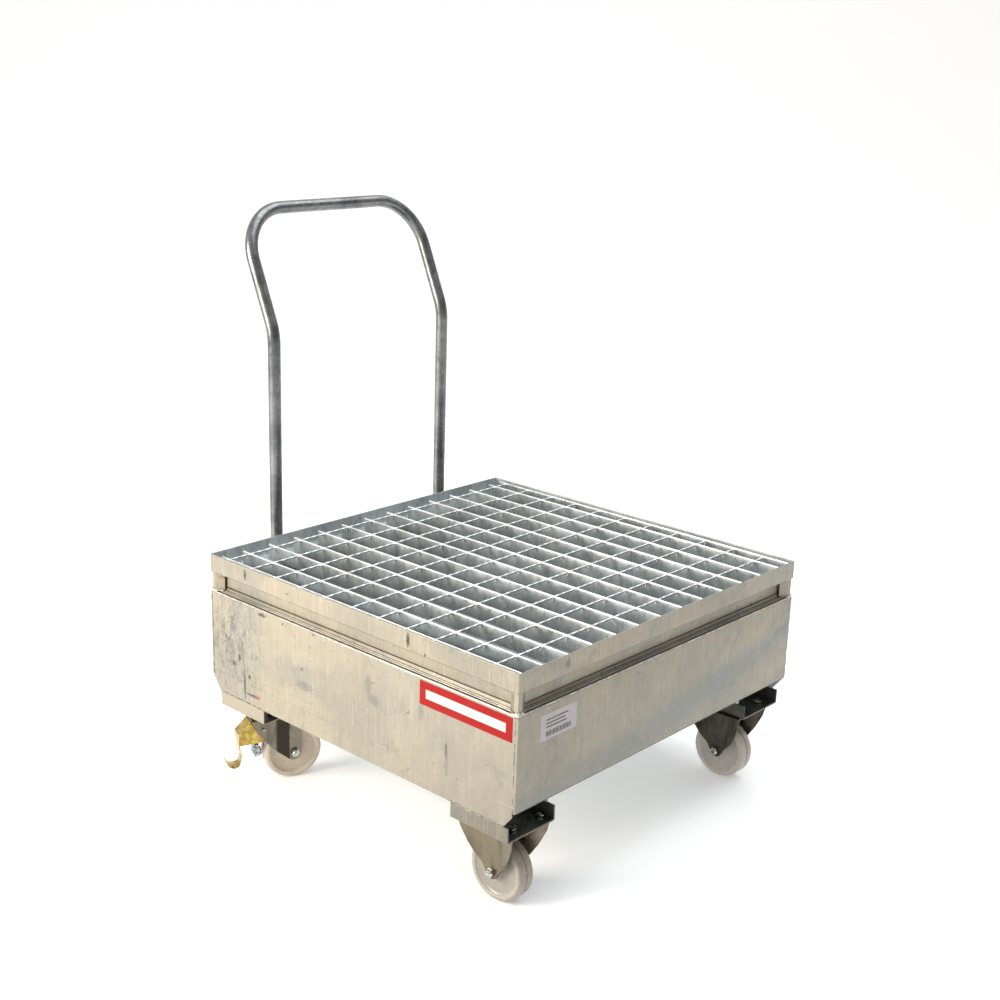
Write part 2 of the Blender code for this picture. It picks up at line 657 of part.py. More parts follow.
def make_pedal(prefix, pedal):
    """Brake pedal on its pivot: a bent web with two cheeks, a narrow arm and a wide foot pad."""
    px, pz = PIVOT_LOCAL
    cheek_y = 0.0182
    shelf_low = 0.0930
    web = [(-0.0500, 0.1430), (-0.0760, 0.1170), (-0.0755, 0.0890), (-0.0700, 0.0640), (-0.0730, 0.0500)]
    pad = [(-0.0780, 0.0435), (-0.0880, 0.0420), (-0.0980, 0.0470), (-0.1030, 0.0560)]
    widths = [0.0190, 0.0190, 0.0150, 0.0085, 0.0100, 0.0150, 0.0180, 0.0180, 0.0165]
    bm = bmesh.new()
    rows = []
    for (x, z), width in zip(web + pad, widths):
        rows.append([bm.verts.new((x - px, y, z - pz)) for y in (-width, width)])
    for first, second in zip(rows, rows[1:]):
        bm.faces.new((first[0], first[1], second[1], second[0]))
    obj = mesh_object(f"{prefix}_brake_pedal", bm)
    obj.parent = pedal
    solid = obj.modifiers.new("sheet", "SOLIDIFY")
    solid.thickness = PEDAL_SHEET
    solid.offset = 0.0
    cheek = [
        (-0.0500, 0.1425), (-0.0758, 0.1168), (-0.0752, 0.0925), (-0.0250, 0.0940),
        (-0.0190, 0.1100), (-0.0190, 0.1330), (-0.0300, 0.1425),
    ]
    cheek = [(x - px, z - pz) for x, z in cheek]
    for side in (-1, 1):
        wall = plate("cheek", cheek, PEDAL_SHEET, "Y", side * cheek_y)
        wall.parent = pedal
        combine(obj, wall, "UNION")
    low = (-0.0740 - px, -cheek_y, shelf_low - pz)
    high = (-0.0300 - px, cheek_y, shelf_low + PEDAL_SHEET - pz)
    shelf = box("pedal_shelf", low, high)
    shelf.parent = pedal
    combine(obj, shelf, "UNION")
    hole = cylinder("pivot_hole", (0, 0, 0), PIN_R + GAP, 0.1, "Y", 16)
    hole.parent = pedal
    combine(obj, hole, "DIFFERENCE")
    finish(obj, (0.72, 0.55, 0.18), 0.3, 0.85, pedal)
    shoe_outline = [
        (-0.0440, 0.0800), (-0.0440, 0.0640), (-0.0410, 0.0590), (-0.0330, 0.0590), (-0.0270, 0.0640),
        (-0.0262, 0.0720), (-0.0290, 0.0800), (-0.0330, 0.0860), (-0.0400, 0.0860),
    ]
    shoe_outline = [(x - px, z - pz) for x, z in shoe_outline]
    shoe = plate(f"{prefix}_brake_shoe", shoe_outline, SHOE_WIDTH, "Y", 0.0)
    shoe.parent = pedal
    stem_top = shelf_low - GAP - pz
    stem_low = 0.0840 - pz
    middle = (-0.0365 - px, 0, (stem_top + stem_low) / 2)
    stem = cylinder("shoe_stem", middle, 0.0050, stem_top - stem_low, "Z", 16)
    stem.parent = pedal
    combine(shoe, stem, "UNION")
    finish(shoe, (0.62, 0.63, 0.65), 0.25, 0.95, pedal)


def make_rear_castor(side, sign):
    prefix = f"rear_{side}"
    make_channel(f"{prefix}_castor_channel", CHANNEL_REAR_X, sign)
    place = (SWIVEL_X, sign * AXLE_Y, 0.0)
    ground = new_empty(f"{prefix}_castor", place)
    make_swivel_head(prefix, ground)
    angle = -sign * SWIVEL_REST_DEG
    turn = new_empty(f"{prefix}_swivel", place, angle)
    make_rear_fork(prefix, turn)
    axle = new_empty(f"{prefix}_axle", (TRAIL, 0.0, WHEEL_R), parent=turn)
    make_wheel(f"{prefix}_wheel", axle)
    make_axle(prefix, axle, sign, LEG_INNER + LEG_SHEET)
    pedal = new_empty(f"{prefix}_pedal", (PIVOT_LOCAL[0], 0.0, PIVOT_LOCAL[1]), parent=turn)
    make_pedal(prefix, pedal)
    pin_length = 2 * (LEG_INNER + LEG_SHEET) + 0.017
    pin = cylinder(f"{prefix}_pedal_pin", (0, 0, 0), PIN_R, pin_length, "Y", 16)
    finish(pin, (0.62, 0.62, 0.60), 0.3, 0.95, pedal)


# ---------------------------------------------------------------- assembly

make_sump_tray()
make_rim_frame()
make_corner_posts()
make_grating_support()
make_floor_bearers()
make_grating()
make_push_handle()
for castor_side, castor_sign in (("left", 1), ("right", -1)):
    make_front_castor(castor_side, castor_sign)
    make_rear_castor(castor_side, castor_sign)
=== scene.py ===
"""Looks of the drum spill trolley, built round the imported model.

Metres, in the model's own frame: +Z up, +X away from the push handle, the floor at Z = 0. "left" is +Y.
Every CAD node is either dressed with a material or replaced by a finer piece of the same size.
"""

import json
import math
import random

import bmesh
import bpy
from mathutils import Matrix, Vector, noise


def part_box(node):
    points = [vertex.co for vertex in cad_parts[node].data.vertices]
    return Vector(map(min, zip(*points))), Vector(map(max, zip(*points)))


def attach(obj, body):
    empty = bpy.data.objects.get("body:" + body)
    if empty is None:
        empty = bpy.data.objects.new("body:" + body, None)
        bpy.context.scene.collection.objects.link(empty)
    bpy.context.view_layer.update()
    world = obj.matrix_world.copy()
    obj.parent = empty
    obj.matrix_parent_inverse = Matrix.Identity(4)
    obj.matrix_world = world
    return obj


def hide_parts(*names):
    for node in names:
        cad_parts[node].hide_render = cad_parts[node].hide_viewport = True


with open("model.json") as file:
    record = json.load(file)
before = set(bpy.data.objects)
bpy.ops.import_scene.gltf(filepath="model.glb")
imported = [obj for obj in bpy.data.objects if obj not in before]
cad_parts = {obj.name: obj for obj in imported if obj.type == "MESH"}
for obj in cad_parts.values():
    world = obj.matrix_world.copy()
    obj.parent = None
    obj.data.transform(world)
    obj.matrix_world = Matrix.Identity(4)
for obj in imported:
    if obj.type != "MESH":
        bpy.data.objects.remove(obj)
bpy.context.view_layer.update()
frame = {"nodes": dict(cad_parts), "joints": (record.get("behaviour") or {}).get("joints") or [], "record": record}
NODES = frame["nodes"]
JOINTS = {joint["name"]: joint for joint in frame["joints"]}
BODY_OF = {}
for body_name, members in frame["record"]["behaviour"]["bodies"].items():
    for member in members:
        BODY_OF[member] = body_name

NOISE_SEED = 1
noise.seed_set(NOISE_SEED)

UP = Vector((0.0, 0.0, 1.0))
TRAY_LOW, TRAY_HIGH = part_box("rim_frame")
MIDDLE_X = (TRAY_LOW.x + TRAY_HIGH.x) / 2
HALF_X = (TRAY_HIGH.x - TRAY_LOW.x) / 2
HALF_Y = TRAY_HIGH.y
TOP_Z = TRAY_HIGH.z
SKIRT_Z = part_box("sump_tray")[0].z
POST_GAP = 0.0003
LEDGE_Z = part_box("corner_post_front_left")[0].z - POST_GAP
BAND_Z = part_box("corner_post_front_left")[1].z + POST_GAP
CHANNEL_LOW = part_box("front_left_castor_channel")[0]
CHANNEL_SHEET = 0.004
CHANNEL_FLOOR_Z = CHANNEL_LOW.z + CHANNEL_SHEET
SUMP_FLOOR_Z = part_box("floor_bearer_left")[1].z
NECK_Z = TRAY_LOW.z
SIDES = (("left", 1), ("right", -1))


# ---------------------------------------------------------------- shader building

class Shader:
    """A material with one Principled shader, and short ways to add nodes to it."""

    def __init__(self, name, metallic=0.0):
        self.material = bpy.data.materials.new(name)
        self.material.use_nodes = True
        self.tree = self.material.node_tree
        self.principled = self.tree.nodes["Principled BSDF"]
        self.principled.inputs["Metallic"].default_value = metallic
        self.place = self.node("ShaderNodeTexCoord").outputs["Object"]

    def node(self, kind, inputs=None, **settings):
        made = self.tree.nodes.new(kind)
        for key, value in settings.items():
            setattr(made, key, value)
        for key, value in (inputs or {}).items():
            if isinstance(value, bpy.types.NodeSocket):
                self.tree.links.new(value, made.inputs[key])
            else:
                made.inputs[key].default_value = value
        return made

    def scaled(self, scale, offset=(0.0, 0.0, 0.0), vector=None):
        inputs = {"Vector": vector or self.place, "Scale": scale, "Location": offset}
        return self.node("ShaderNodeMapping", inputs).outputs["Vector"]

    def noise(self, scale, detail=3.0, rough=0.55, distort=0.0, vector=None):
        inputs = {
            "Vector": vector or self.place, "Scale": scale, "Detail": detail,
            "Roughness": rough, "Distortion": distort,
        }
        return self.node("ShaderNodeTexNoise", inputs).outputs["Fac"]

    def cells(self, scale, feature="F1", vector=None):
        inputs = {"Vector": vector or self.place, "Scale": scale}
        return self.node("ShaderNodeTexVoronoi", inputs, feature=feature).outputs

    def ramp(self, value, low, high, start=0.0, end=1.0):
        """Carries low..high of a value smoothly to start..end."""
        inputs = {"Value": value, "From Min": low, "From Max": high, "To Min": start, "To Max": end}
        made = self.node("ShaderNodeMapRange", inputs, interpolation_type="SMOOTHSTEP")
        return made.outputs["Result"]

    def maths(self, operation, first, second=0.0):
        made = self.node("ShaderNodeMath", {0: first, 1: second}, operation=operation)
        return made.outputs[0]

    def times(self, first, second):
        return self.maths("MULTIPLY", first, second)

    def plus(self, first, second):
        return self.maths("ADD", first, second)

    def minus(self, first, second):
        return self.maths("SUBTRACT", first, second)

    def absolute(self, value):
        return self.maths("ABSOLUTE", value)

    def vector(self, operation, inputs):
        return self.node("ShaderNodeVectorMath", inputs, operation=operation).outputs[0]

    def mix(self, amount, first, second, mode="MIX"):
        inputs = {"Factor": amount}
        made = self.node("ShaderNodeMix", inputs, data_type="RGBA", blend_type=mode)
        for index, colour in ((6, first), (7, second)):
            if isinstance(colour, bpy.types.NodeSocket):
                self.tree.links.new(colour, made.inputs[index])
            else:
                made.inputs[index].default_value = (*colour, 1.0)
        return made.outputs[2]

    def tinted(self, colour, mask, strength, tint):
        """The colour with a tint laid over it where the mask is one."""
        return self.mix(self.times(mask, strength), colour, tint)

    def axes(self):
        made = self.node("ShaderNodeSeparateXYZ", {"Vector": self.place})
        return made.outputs["X"], made.outputs["Y"], made.outputs["Z"]

    def spot(self, centre, size, ragged=0.35):
        """A ragged spot: 1 in its middle, 0 outside an ellipsoid of the given half sizes."""
        scale = [1 / s for s in size]
        offset = [-c / s for c, s in zip(centre, size)]
        away = self.node("ShaderNodeVectorMath", {0: self.scaled(scale, offset)}, operation="LENGTH")
        torn = self.times(self.minus(self.noise(330.0, 5.0, 0.7), 0.5), 4.0 * ragged)
        reach = self.plus(away.outputs["Value"], torn)
        return self.ramp(reach, 1.0, 0.55)

    def output(self, colour, roughness, height, bump, distance):
        """Links the finished colour, roughness and bump height, and gives back the material."""
        inputs = {"Height": height, "Strength": bump, "Distance": distance}
        normal = self.node("ShaderNodeBump", inputs).outputs["Normal"]
        for key, value in (("Base Color", colour), ("Roughness", roughness), ("Normal", normal)):
            self.tree.links.new(value, self.principled.inputs[key])
        return self.material

    def warped(self, scale, amount):
        """The place, pushed about by a noise, so that straight patterns turn curly."""
        swirl = self.node("ShaderNodeTexNoise", {"Vector": self.place, "Scale": scale, "Detail": 2.0})
        push = self.vector("SUBTRACT", {0: swirl.outputs["Color"], 1: (0.5, 0.5, 0.5)})
        push = self.vector("SCALE", {0: push, "Scale": amount})
        return self.vector("ADD", {0: self.place, 1: push})

    def scratches(self, scale, width, keep):
        """Thin curly lines, broken up by a noise. keep from 0 to 1 is about how much of them stays."""
        lines = self.cells(scale, "DISTANCE_TO_EDGE", self.warped(9.0, 0.16))["Distance"]
        drawn = self.ramp(lines, width, 0.3 * width)
        held = self.ramp(self.noise(26.0, 3.0), 0.62 - 0.25 * keep, 0.68 - 0.25 * keep)
        return self.times(drawn, held)


# ---------------------------------------------------------------- materials

SHEET_LIGHT = (0.375, 0.325, 0.245)
SHEET_DARK = (0.285, 0.258, 0.208)
SHEET_STREAK = (0.170, 0.160, 0.135)
SHEET_PALE = (0.520, 0.480, 0.410)
SHEET_GREY = (0.268, 0.266, 0.240)
SHEET_CRYSTAL = (0.180, 0.175, 0.160)
SMUDGE = (0.130, 0.140, 0.135)
BLACK_MARK = (0.035, 0.030, 0.028)
RUST = (0.420, 0.120, 0.040)
# Painted shade for the ledge's gutter.
GUTTER_SHADE = (0.075, 0.068, 0.055)
FRONT_SHADE = (0.215, 0.205, 0.178)
# Blue-grey of a painted reflection across the front face.
FRONT_REFLECTION_BLUE = (0.200, 0.220, 0.228)
FRONT_GREY = (0.200, 0.200, 0.180)


def galvanised(name, light=SHEET_LIGHT, dark=SHEET_DARK, metallic=0.35):
    """Weathered hot dip galvanised sheet. Returns the shader and its colour, for marks to be added."""
    s = Shader(name, metallic)
    colour = s.mix(s.ramp(s.noise(4.5, 5.0, 0.6, 0.8), 0.36, 0.66), light, dark)
    patches = s.noise(3.2, 4.0, 0.55, 0.6, vector=s.scaled((1.0, 1.0, 0.6), (5.0, 2.0, 4.0)))
    colour = s.mix(s.ramp(patches, 0.44, 0.68, 0.0, 0.65), colour, SHEET_GREY)
    streaks = s.noise(1.0, 4.0, 0.65, vector=s.scaled((190.0, 190.0, 7.0)))
    colour = s.mix(s.ramp(streaks, 0.48, 0.76, 0.0, 0.32), colour, SHEET_STREAK)
    fine = s.noise(1.0, 4.0, 0.7, vector=s.scaled((620.0, 620.0, 22.0), (9.0, 1.0, 3.0)))
    colour = s.mix(s.ramp(fine, 0.46, 0.72, 0.0, 0.55), colour, SHEET_STREAK)
    pale = s.noise(1.0, 4.0, 0.65, vector=s.scaled((260.0, 260.0, 9.0), (3.0, 7.0, 1.0)))
    colour = s.mix(s.ramp(pale, 0.52, 0.76, 0.0, 0.40), colour, SHEET_PALE)
    crystals = s.ramp(s.cells(130.0)["Color"], 0.0, 1.0, 0.0, 0.14)
    colour = s.mix(crystals, colour, SHEET_CRYSTAL)
    smudges = s.ramp(s.noise(15.0, 6.0, 0.62, 1.4), 0.58, 0.74, 0.0, 0.42)
    colour = s.mix(smudges, colour, SMUDGE)
    flecks = s.times(s.ramp(s.noise(330.0, 2.0), 0.68, 0.74), s.ramp(s.noise(11.0, 3.0), 0.50, 0.62))
    colour = s.tinted(colour, flecks, 0.55, BLACK_MARK)
    return s, colour


def galvanised_finish(s, colour, bump=0.22):
    """A dull, cloudy sheen with slow waves and a fine grain."""
    rough = s.ramp(s.noise(38.0, 5.0, 0.6), 0.30, 0.72, 0.26, 0.48)
    waves = s.times(s.noise(7.0, 2.0), 6.0)
    grain = s.plus(s.noise(420.0, 4.0, 0.6), s.times(s.noise(60.0, 3.0), 0.8))
    return s.output(colour, rough, s.plus(waves, grain), bump, 0.0006)


def marked(s, colour, spots, tint, strength, ragged=0.55):
    """Spots of a tint, each given as its centre and its half sizes."""
    for centre, size in spots:
        colour = s.tinted(colour, s.spot(centre, size, ragged), strength, tint)
    return colour


def on_right_side(marks, depth):
    """Spots on the right side of the tray, from (distance from its rear, height, half width, half height)."""
    return [((TRAY_LOW.x + along, -HALF_Y, z), (wide, depth, high)) for along, z, wide, high in marks]


def dashes(s, away, half_width, low, high):
    """A broken line where the distance away is under half a width, kept by a noise between low and high."""
    line = s.ramp(away, half_width, 0.4 * half_width)
    return s.times(line, s.ramp(s.noise(75.0, 3.0, 0.7), low, high))


TRAY_BLACK_MARKS = (
    (0.110, 0.243, 0.0032, 0.046),
    (0.136, 0.225, 0.0280, 0.0034),
    (0.076, 0.281, 0.0070, 0.0085),
    (0.093, 0.298, 0.0050, 0.0120),
    (0.126, 0.264, 0.0060, 0.0060),
    (0.170, 0.414, 0.0160, 0.0050),
    (0.236, 0.414, 0.0034, 0.0034),
    (0.330, 0.418, 0.0034, 0.0034),
    (0.698, 0.300, 0.0040, 0.0200),
)
TRAY_SMUDGES = (
    (0.488, 0.363, 0.011, 0.024),
    (0.506, 0.335, 0.015, 0.014),
    (0.632, 0.355, 0.010, 0.020),
    (0.700, 0.275, 0.006, 0.034),
    (0.300, 0.300, 0.030, 0.012),
)
TRAY_RUST_MARKS = ((0.152, 0.2285, 0.013, 0.0026),)
RIM_BLACK_MARKS = (
    (0.117, 0.4870, 0.0050, 0.0140),
    (0.595, 0.4860, 0.0055, 0.0170),
    (0.640, 0.4700, 0.0024, 0.0050),
    (0.250, 0.4820, 0.0090, 0.0014),
)


def tray_scuffs(s, colour, area, side):
    """Dirt, specks and fine scratches, thick in one worn area and thin over the rest of the sides."""
    grime = s.noise(1.0, 6.0, 0.66, 0.9, s.scaled((62.0, 62.0, 30.0), (1.0, 4.0, 2.0)))
    colour = s.tinted(colour, s.ramp(grime, 0.47, 0.62, 0.0, 0.85), area, SMUDGE)
    specks = s.noise(1.0, 5.0, 0.7, 0.8, s.scaled((150.0, 150.0, 90.0)))
    colour = s.tinted(colour, s.ramp(specks, 0.57, 0.66, 0.0, 0.80), area, BLACK_MARK)
    colour = s.tinted(colour, s.times(s.scratches(20.0, 0.030, 0.35), area), 0.55, BLACK_MARK)
    return s.tinted(colour, s.times(s.scratches(13.0, 0.012, 0.18), side), 0.55, BLACK_MARK)


def tray_marks(s, colour, area, z):
    """Single dark marks, smudges and rust."""
    colour = marked(s, colour, on_right_side(TRAY_BLACK_MARKS, 0.01), BLACK_MARK, 0.85)
    colour = marked(s, colour, on_right_side(TRAY_SMUDGES, 0.01), SMUDGE, 0.55)
    colour = marked(s, colour, on_right_side(TRAY_RUST_MARKS, 0.01), RUST, 0.9)
    low_edge = s.ramp(z, SKIRT_Z + 0.016, SKIRT_Z)
    colour = s.tinted(colour, s.times(s.ramp(s.noise(120.0, 4.0, 0.7), 0.60, 0.68), low_edge), 0.75, RUST)
    return s.tinted(colour, s.times(s.ramp(s.noise(190.0, 3.0, 0.6), 0.64, 0.70), area), 0.7, RUST)


def tray_joints(s, colour, side, x, z):
    """The broken dark lines along the corner seams and the skirts, and painted shade on the ledge's gutter and
    along the foot of the neck.
    """
    inward = from_ends(s, x)
    seam = dashes(s, s.absolute(s.minus(inward, 0.0062)), 0.0019, 0.43, 0.51)
    colour = s.tinted(colour, s.times(seam, side), 0.95, BLACK_MARK)
    foot = dashes(s, s.absolute(s.minus(z, SKIRT_Z + 0.0012)), 0.0022, 0.44, 0.54)
    near_end = s.times(side, s.ramp(inward, 0.165, 0.160))
    colour = s.tinted(colour, s.times(foot, near_end), 0.85, BLACK_MARK)
    # Painted shade: the flat of the ledge and the foot of the neck are darkened where shade falls between them.
    above = s.ramp(z, LEDGE_Z - 0.0011, LEDGE_Z - 0.0007)
    flat = s.times(above, s.ramp(z, LEDGE_Z + 0.0022, LEDGE_Z + 0.0010))
    joint = s.ramp(z, NECK_Z - 0.0022, NECK_Z - 0.0012)
    gutter = s.times(s.maths("MAXIMUM", flat, joint), inside_mask(s, 0.0050))
    return s.tinted(colour, gutter, 0.80, GUTTER_SHADE)


def tray_shades(s, colour, side, x, y, z):
    """The sides grow greyer towards the front. The front face has a wavy blue band of painted reflection, a grey
    end and a dark line of painted shadow along its foot.
    """
    colour = s.mix(s.times(s.ramp(x, 0.10, 0.50, 0.0, 0.42), side), colour, FRONT_SHADE)
    front = s.ramp(x, TRAY_HIGH.x - 0.0012, TRAY_HIGH.x - 0.0006)
    # Painted reflection: a wavy blue-grey band across the front face.
    slope = s.plus(s.times(y, 0.14), s.times(s.noise(5.0, 2.0), 0.06))
    band = s.ramp(s.absolute(s.minus(s.minus(z, slope), 0.255)), 0.050, 0.010)
    colour = s.tinted(colour, s.times(band, front), 0.55, FRONT_REFLECTION_BLUE)
    colour = s.tinted(colour, s.ramp(y, 0.10, -0.44, 0.0, 0.35), front, FRONT_GREY)
    # Painted shadow: a dark line along the foot of the front face.
    foot_shadow = s.times(s.ramp(z, SUMP_FLOOR_Z + 0.0032, SUMP_FLOOR_Z + 0.0014), front)
    return s.tinted(colour, foot_shadow, 0.8, BLACK_MARK)


def tray_material():
    s, colour = galvanised("tray_sheet")
    x, y, z = s.axes()
    side = s.ramp(s.absolute(y), HALF_Y - 0.0012, HALF_Y - 0.0006)
    worn = s.spot((TRAY_LOW.x + 0.074, -HALF_Y, 0.325), (0.095, 0.030, 0.120), 0.8)
    area = s.times(worn, side)
    colour = tray_scuffs(s, colour, area, side)
    colour = tray_marks(s, colour, area, z)
    colour = tray_joints(s, colour, side, x, z)
    colour = tray_shades(s, colour, side, x, y, z)
    # The faces inside the sump take the cooler, lighter inside colour, which is partly painted light.
    inside = s.times(inside_mask(s, 0.003), s.ramp(z, LEDGE_Z - 0.0012, LEDGE_Z - 0.0020))
    return galvanised_finish(s, s.mix(inside, colour, inside_colour(s)))


def inside_colour(s):
    """Cool grey zinc of the faces that look into the sump, cooler and lighter than the outer sheet: partly painted
    light for the cool light inside it.
    """
    base = s.mix(s.ramp(s.noise(6.0, 4.0, 0.6, 0.8), 0.36, 0.66), (0.56, 0.60, 0.61), (0.40, 0.43, 0.44))
    runs = s.noise(1.0, 4.0, 0.65, vector=s.scaled((60.0, 60.0, 9.0)))
    return s.mix(s.ramp(runs, 0.46, 0.74, 0.0, 0.55), base, (0.24, 0.26, 0.27))


def from_ends(s, x):
    """How far a place is inside the nearer end of the tray."""
    return s.minus(HALF_X, s.absolute(s.minus(x, MIDDLE_X)))


def inside_mask(s, thickness):
    """One on the faces more than the sheet's thickness inside the tray's outline, zero outside it."""
    x, y, _ = s.axes()
    inward = s.maths("MINIMUM", from_ends(s, x), s.minus(HALF_Y, s.absolute(y)))
    return s.ramp(inward, thickness - 0.0008, thickness - 0.0004)


def inside_material():
    """The dull inside of the sump and the strips under it."""
    s = Shader("sump_inside", 0.3)
    return galvanised_finish(s, inside_colour(s))


def rim_material():
    """Marks on the band, painted shadow along the foot of the neck, painted shade where the band meets the neck,
    and cool zinc inside, partly painted light.
    """
    s, colour = galvanised("rim_sheet")
    colour = marked(s, colour, on_right_side(RIM_BLACK_MARKS, 0.008), BLACK_MARK, 0.9)
    front_smudge = ((TRAY_LOW.x + 0.870, -0.310, 0.4880), (0.008, 0.007, 0.0130))
    colour = marked(s, colour, [front_smudge], SMUDGE, 0.8)
    _, _, z = s.axes()
    # Painted shadow: a dark line along the foot of the neck.
    colour = s.tinted(colour, s.ramp(z, NECK_Z + 0.0022, NECK_Z + 0.0012), 0.80, (0.040, 0.036, 0.030))
    # Painted shade in the fold where the band meets the neck.
    crease = s.ramp(s.absolute(s.minus(z, BAND_Z)), 0.0016, 0.0008)
    colour = s.tinted(colour, crease, 0.62, (0.060, 0.054, 0.045))
    above = s.ramp(z, BAND_Z + 0.0010, BAND_Z + 0.0020)
    colour = s.mix(s.times(inside_mask(s, 0.003), above), colour, inside_colour(s))
    return galvanised_finish(s, colour)


def post_material():
    """Plain sheet with one brown stain."""
    s, colour = galvanised("post_sheet")
    stain = ((TRAY_LOW.x + 0.030, -HALF_Y + 0.008, 0.4560), (0.014, 0.012, 0.0045))
    return galvanised_finish(s, marked(s, colour, [stain], (0.26, 0.15, 0.09), 0.8))


def channel_material():
    """Clean outside and paler at the rear; inside, painted shade, near black in blotches."""
    s, colour = galvanised("channel_sheet", (0.208, 0.187, 0.145), (0.152, 0.137, 0.110))
    x, y, z = s.axes()
    outside = s.ramp(s.absolute(y), HALF_Y - 0.0018, HALF_Y - 0.0010)
    below = s.ramp(z, CHANNEL_LOW.z + 0.0022, CHANNEL_LOW.z + 0.0012)
    shown = s.maths("MAXIMUM", outside, below)
    colour = s.mix(s.ramp(x, 0.10, 0.0, 0.0, 0.85), colour, (0.345, 0.302, 0.232))
    # Painted shade: the faces inside the channel are near black, in blotches.
    blotches = s.ramp(s.noise(40.0, 5.0), 0.40, 0.65)
    dirt = s.mix(blotches, (0.034, 0.036, 0.029), (0.075, 0.075, 0.060))
    return galvanised_finish(s, s.mix(shown, dirt, colour))


def grating_material():
    """Cool grey zinc, its tone partly painted light, with runs down the bars and a painted highlight along their
    upper edges.
    """
    s = Shader("grating_zinc", 0.55)
    clouds = s.ramp(s.noise(9.0, 5.0, 0.6, 0.6), 0.36, 0.66)
    colour = s.mix(clouds, (0.45, 0.49, 0.505), (0.31, 0.34, 0.355))
    runs = s.noise(1.0, 4.0, 0.65, vector=s.scaled((70.0, 70.0, 22.0)))
    colour = s.mix(s.ramp(runs, 0.46, 0.72, 0.0, 0.5), colour, (0.20, 0.22, 0.22))
    _, _, z = s.axes()
    # Painted highlight: near white along the top few millimetres of the bars and rods.
    edge = s.ramp(z, TOP_Z - 0.0040, TOP_Z - 0.0026)
    colour = s.mix(edge, colour, (0.90, 0.92, 0.92))
    rough = s.ramp(s.noise(55.0, 4.0), 0.30, 0.70, 0.24, 0.50)
    grain = s.plus(s.noise(260.0, 4.0, 0.6), s.times(s.noise(28.0, 3.0), 3.0))
    return s.output(colour, rough, grain, 0.35, 0.0007)


def weld_material():
    """Zinc over a weld, blotched light and dark."""
    s = Shader("weld_zinc", 0.8)
    blotches = s.ramp(s.noise(120.0, 4.0), 0.35, 0.65)
    colour = s.mix(blotches, (0.62, 0.60, 0.53), (0.27, 0.25, 0.20))
    rough = s.ramp(s.noise(200.0, 3.0), 0.30, 0.70, 0.22, 0.46)
    return s.output(colour, rough, s.noise(500.0, 4.0, 0.6), 0.4, 0.0005)


def handle_material():
    """Dull zinc on the tube, with dark runs and pale specks."""
    s = Shader("handle_zinc", 0.95)
    clouds = s.ramp(s.noise(14.0, 5.0, 0.6, 0.5), 0.36, 0.66)
    colour = s.mix(clouds, (0.222, 0.226, 0.224), (0.138, 0.144, 0.146))
    runs = s.noise(1.0, 4.0, 0.6, vector=s.scaled((140.0, 140.0, 12.0)))
    colour = s.mix(s.ramp(runs, 0.50, 0.74, 0.0, 0.5), colour, (0.085, 0.088, 0.085))
    specks = s.ramp(s.noise(260.0, 2.0), 0.68, 0.75, 0.0, 0.5)
    colour = s.mix(specks, colour, (0.66, 0.66, 0.64))
    rough = s.ramp(s.noise(60.0, 5.0), 0.30, 0.70, 0.20, 0.42)
    bumps = s.plus(s.noise(160.0, 4.0, 0.6), s.times(s.noise(45.0, 3.0), 1.5))
    return s.output(colour, rough, bumps, 0.30, 0.0006)


def plated(name, light, dark, shade_band=None):
    """Zinc plated steel with a cloudy tint and dirt. The optional band is painted shade, dark, given as two
    distances from y = 0.
    """
    s = Shader(name, 0.85)
    clouds = s.noise(1.0, 3.0, 0.5, 0.3, s.scaled((26.0, 26.0, 7.0)))
    colour = s.mix(s.ramp(clouds, 0.38, 0.64), light, dark)
    tint = s.ramp(s.noise(30.0, 3.0), 0.46, 0.66, 0.0, 0.15)
    colour = s.mix(tint, colour, tuple(part * 1.1 for part in light))
    dirt = s.ramp(s.noise(75.0, 6.0, 0.66, 0.8), 0.62, 0.78, 0.0, 0.35)
    colour = s.mix(dirt, colour, tuple(0.35 * part for part in dark))
    # Painted shade: a dark band across the fork legs.
    if shade_band:
        near, far = shade_band
        away = s.absolute(s.axes()[1])
        past_near = s.ramp(away, near - 0.001, near + 0.002)
        band = s.times(past_near, s.ramp(away, far + 0.006, far - 0.002))
        colour = s.tinted(colour, band, 0.9, (0.020, 0.017, 0.013))
    roughness = s.ramp(s.noise(90.0, 5.0), 0.30, 0.70, 0.20, 0.38)
    return s.output(colour, roughness, s.noise(620.0, 4.0, 0.6), 0.12, 0.0003)


def bright_material(name, colour, metallic=1.0, shaded=0.38):
    """Bright metal. Its dark patches have the colour times shaded."""
    s = Shader(name, metallic)
    tone = s.mix(s.ramp(s.noise(110.0, 4.0), 0.40, 0.62), colour, tuple(c * shaded for c in colour))
    roughness = s.ramp(s.noise(340.0, 3.0), 0.30, 0.70, 0.10, 0.26)
    return s.output(tone, roughness, s.noise(900.0, 3.0), 0.1, 0.0002)


def chromate_material():
    """Yellow passivated zinc, which shifts between gold, orange, olive and pink."""
    s = Shader("yellow_chromate", 0.9)
    clouds = s.ramp(s.noise(42.0, 3.0, 0.5, 0.8), 0.40, 0.60)
    colour = s.mix(clouds, (0.62, 0.47, 0.12), (0.38, 0.25, 0.06))
    colour = s.mix(s.ramp(s.noise(60.0, 3.0), 0.50, 0.66, 0.0, 0.75), colour, (0.21, 0.23, 0.07))
    shift = s.noise(33.0, 2.0, vector=s.scaled((1.0, 1.0, 1.0), (2.0, 5.0, 3.0)))
    colour = s.mix(s.ramp(shift, 0.54, 0.68, 0.0, 0.6), colour, (0.46, 0.20, 0.15))
    roughness = s.ramp(s.noise(120.0, 4.0), 0.30, 0.70, 0.10, 0.28)
    return s.output(colour, roughness, s.noise(500.0, 3.0), 0.12, 0.0003)


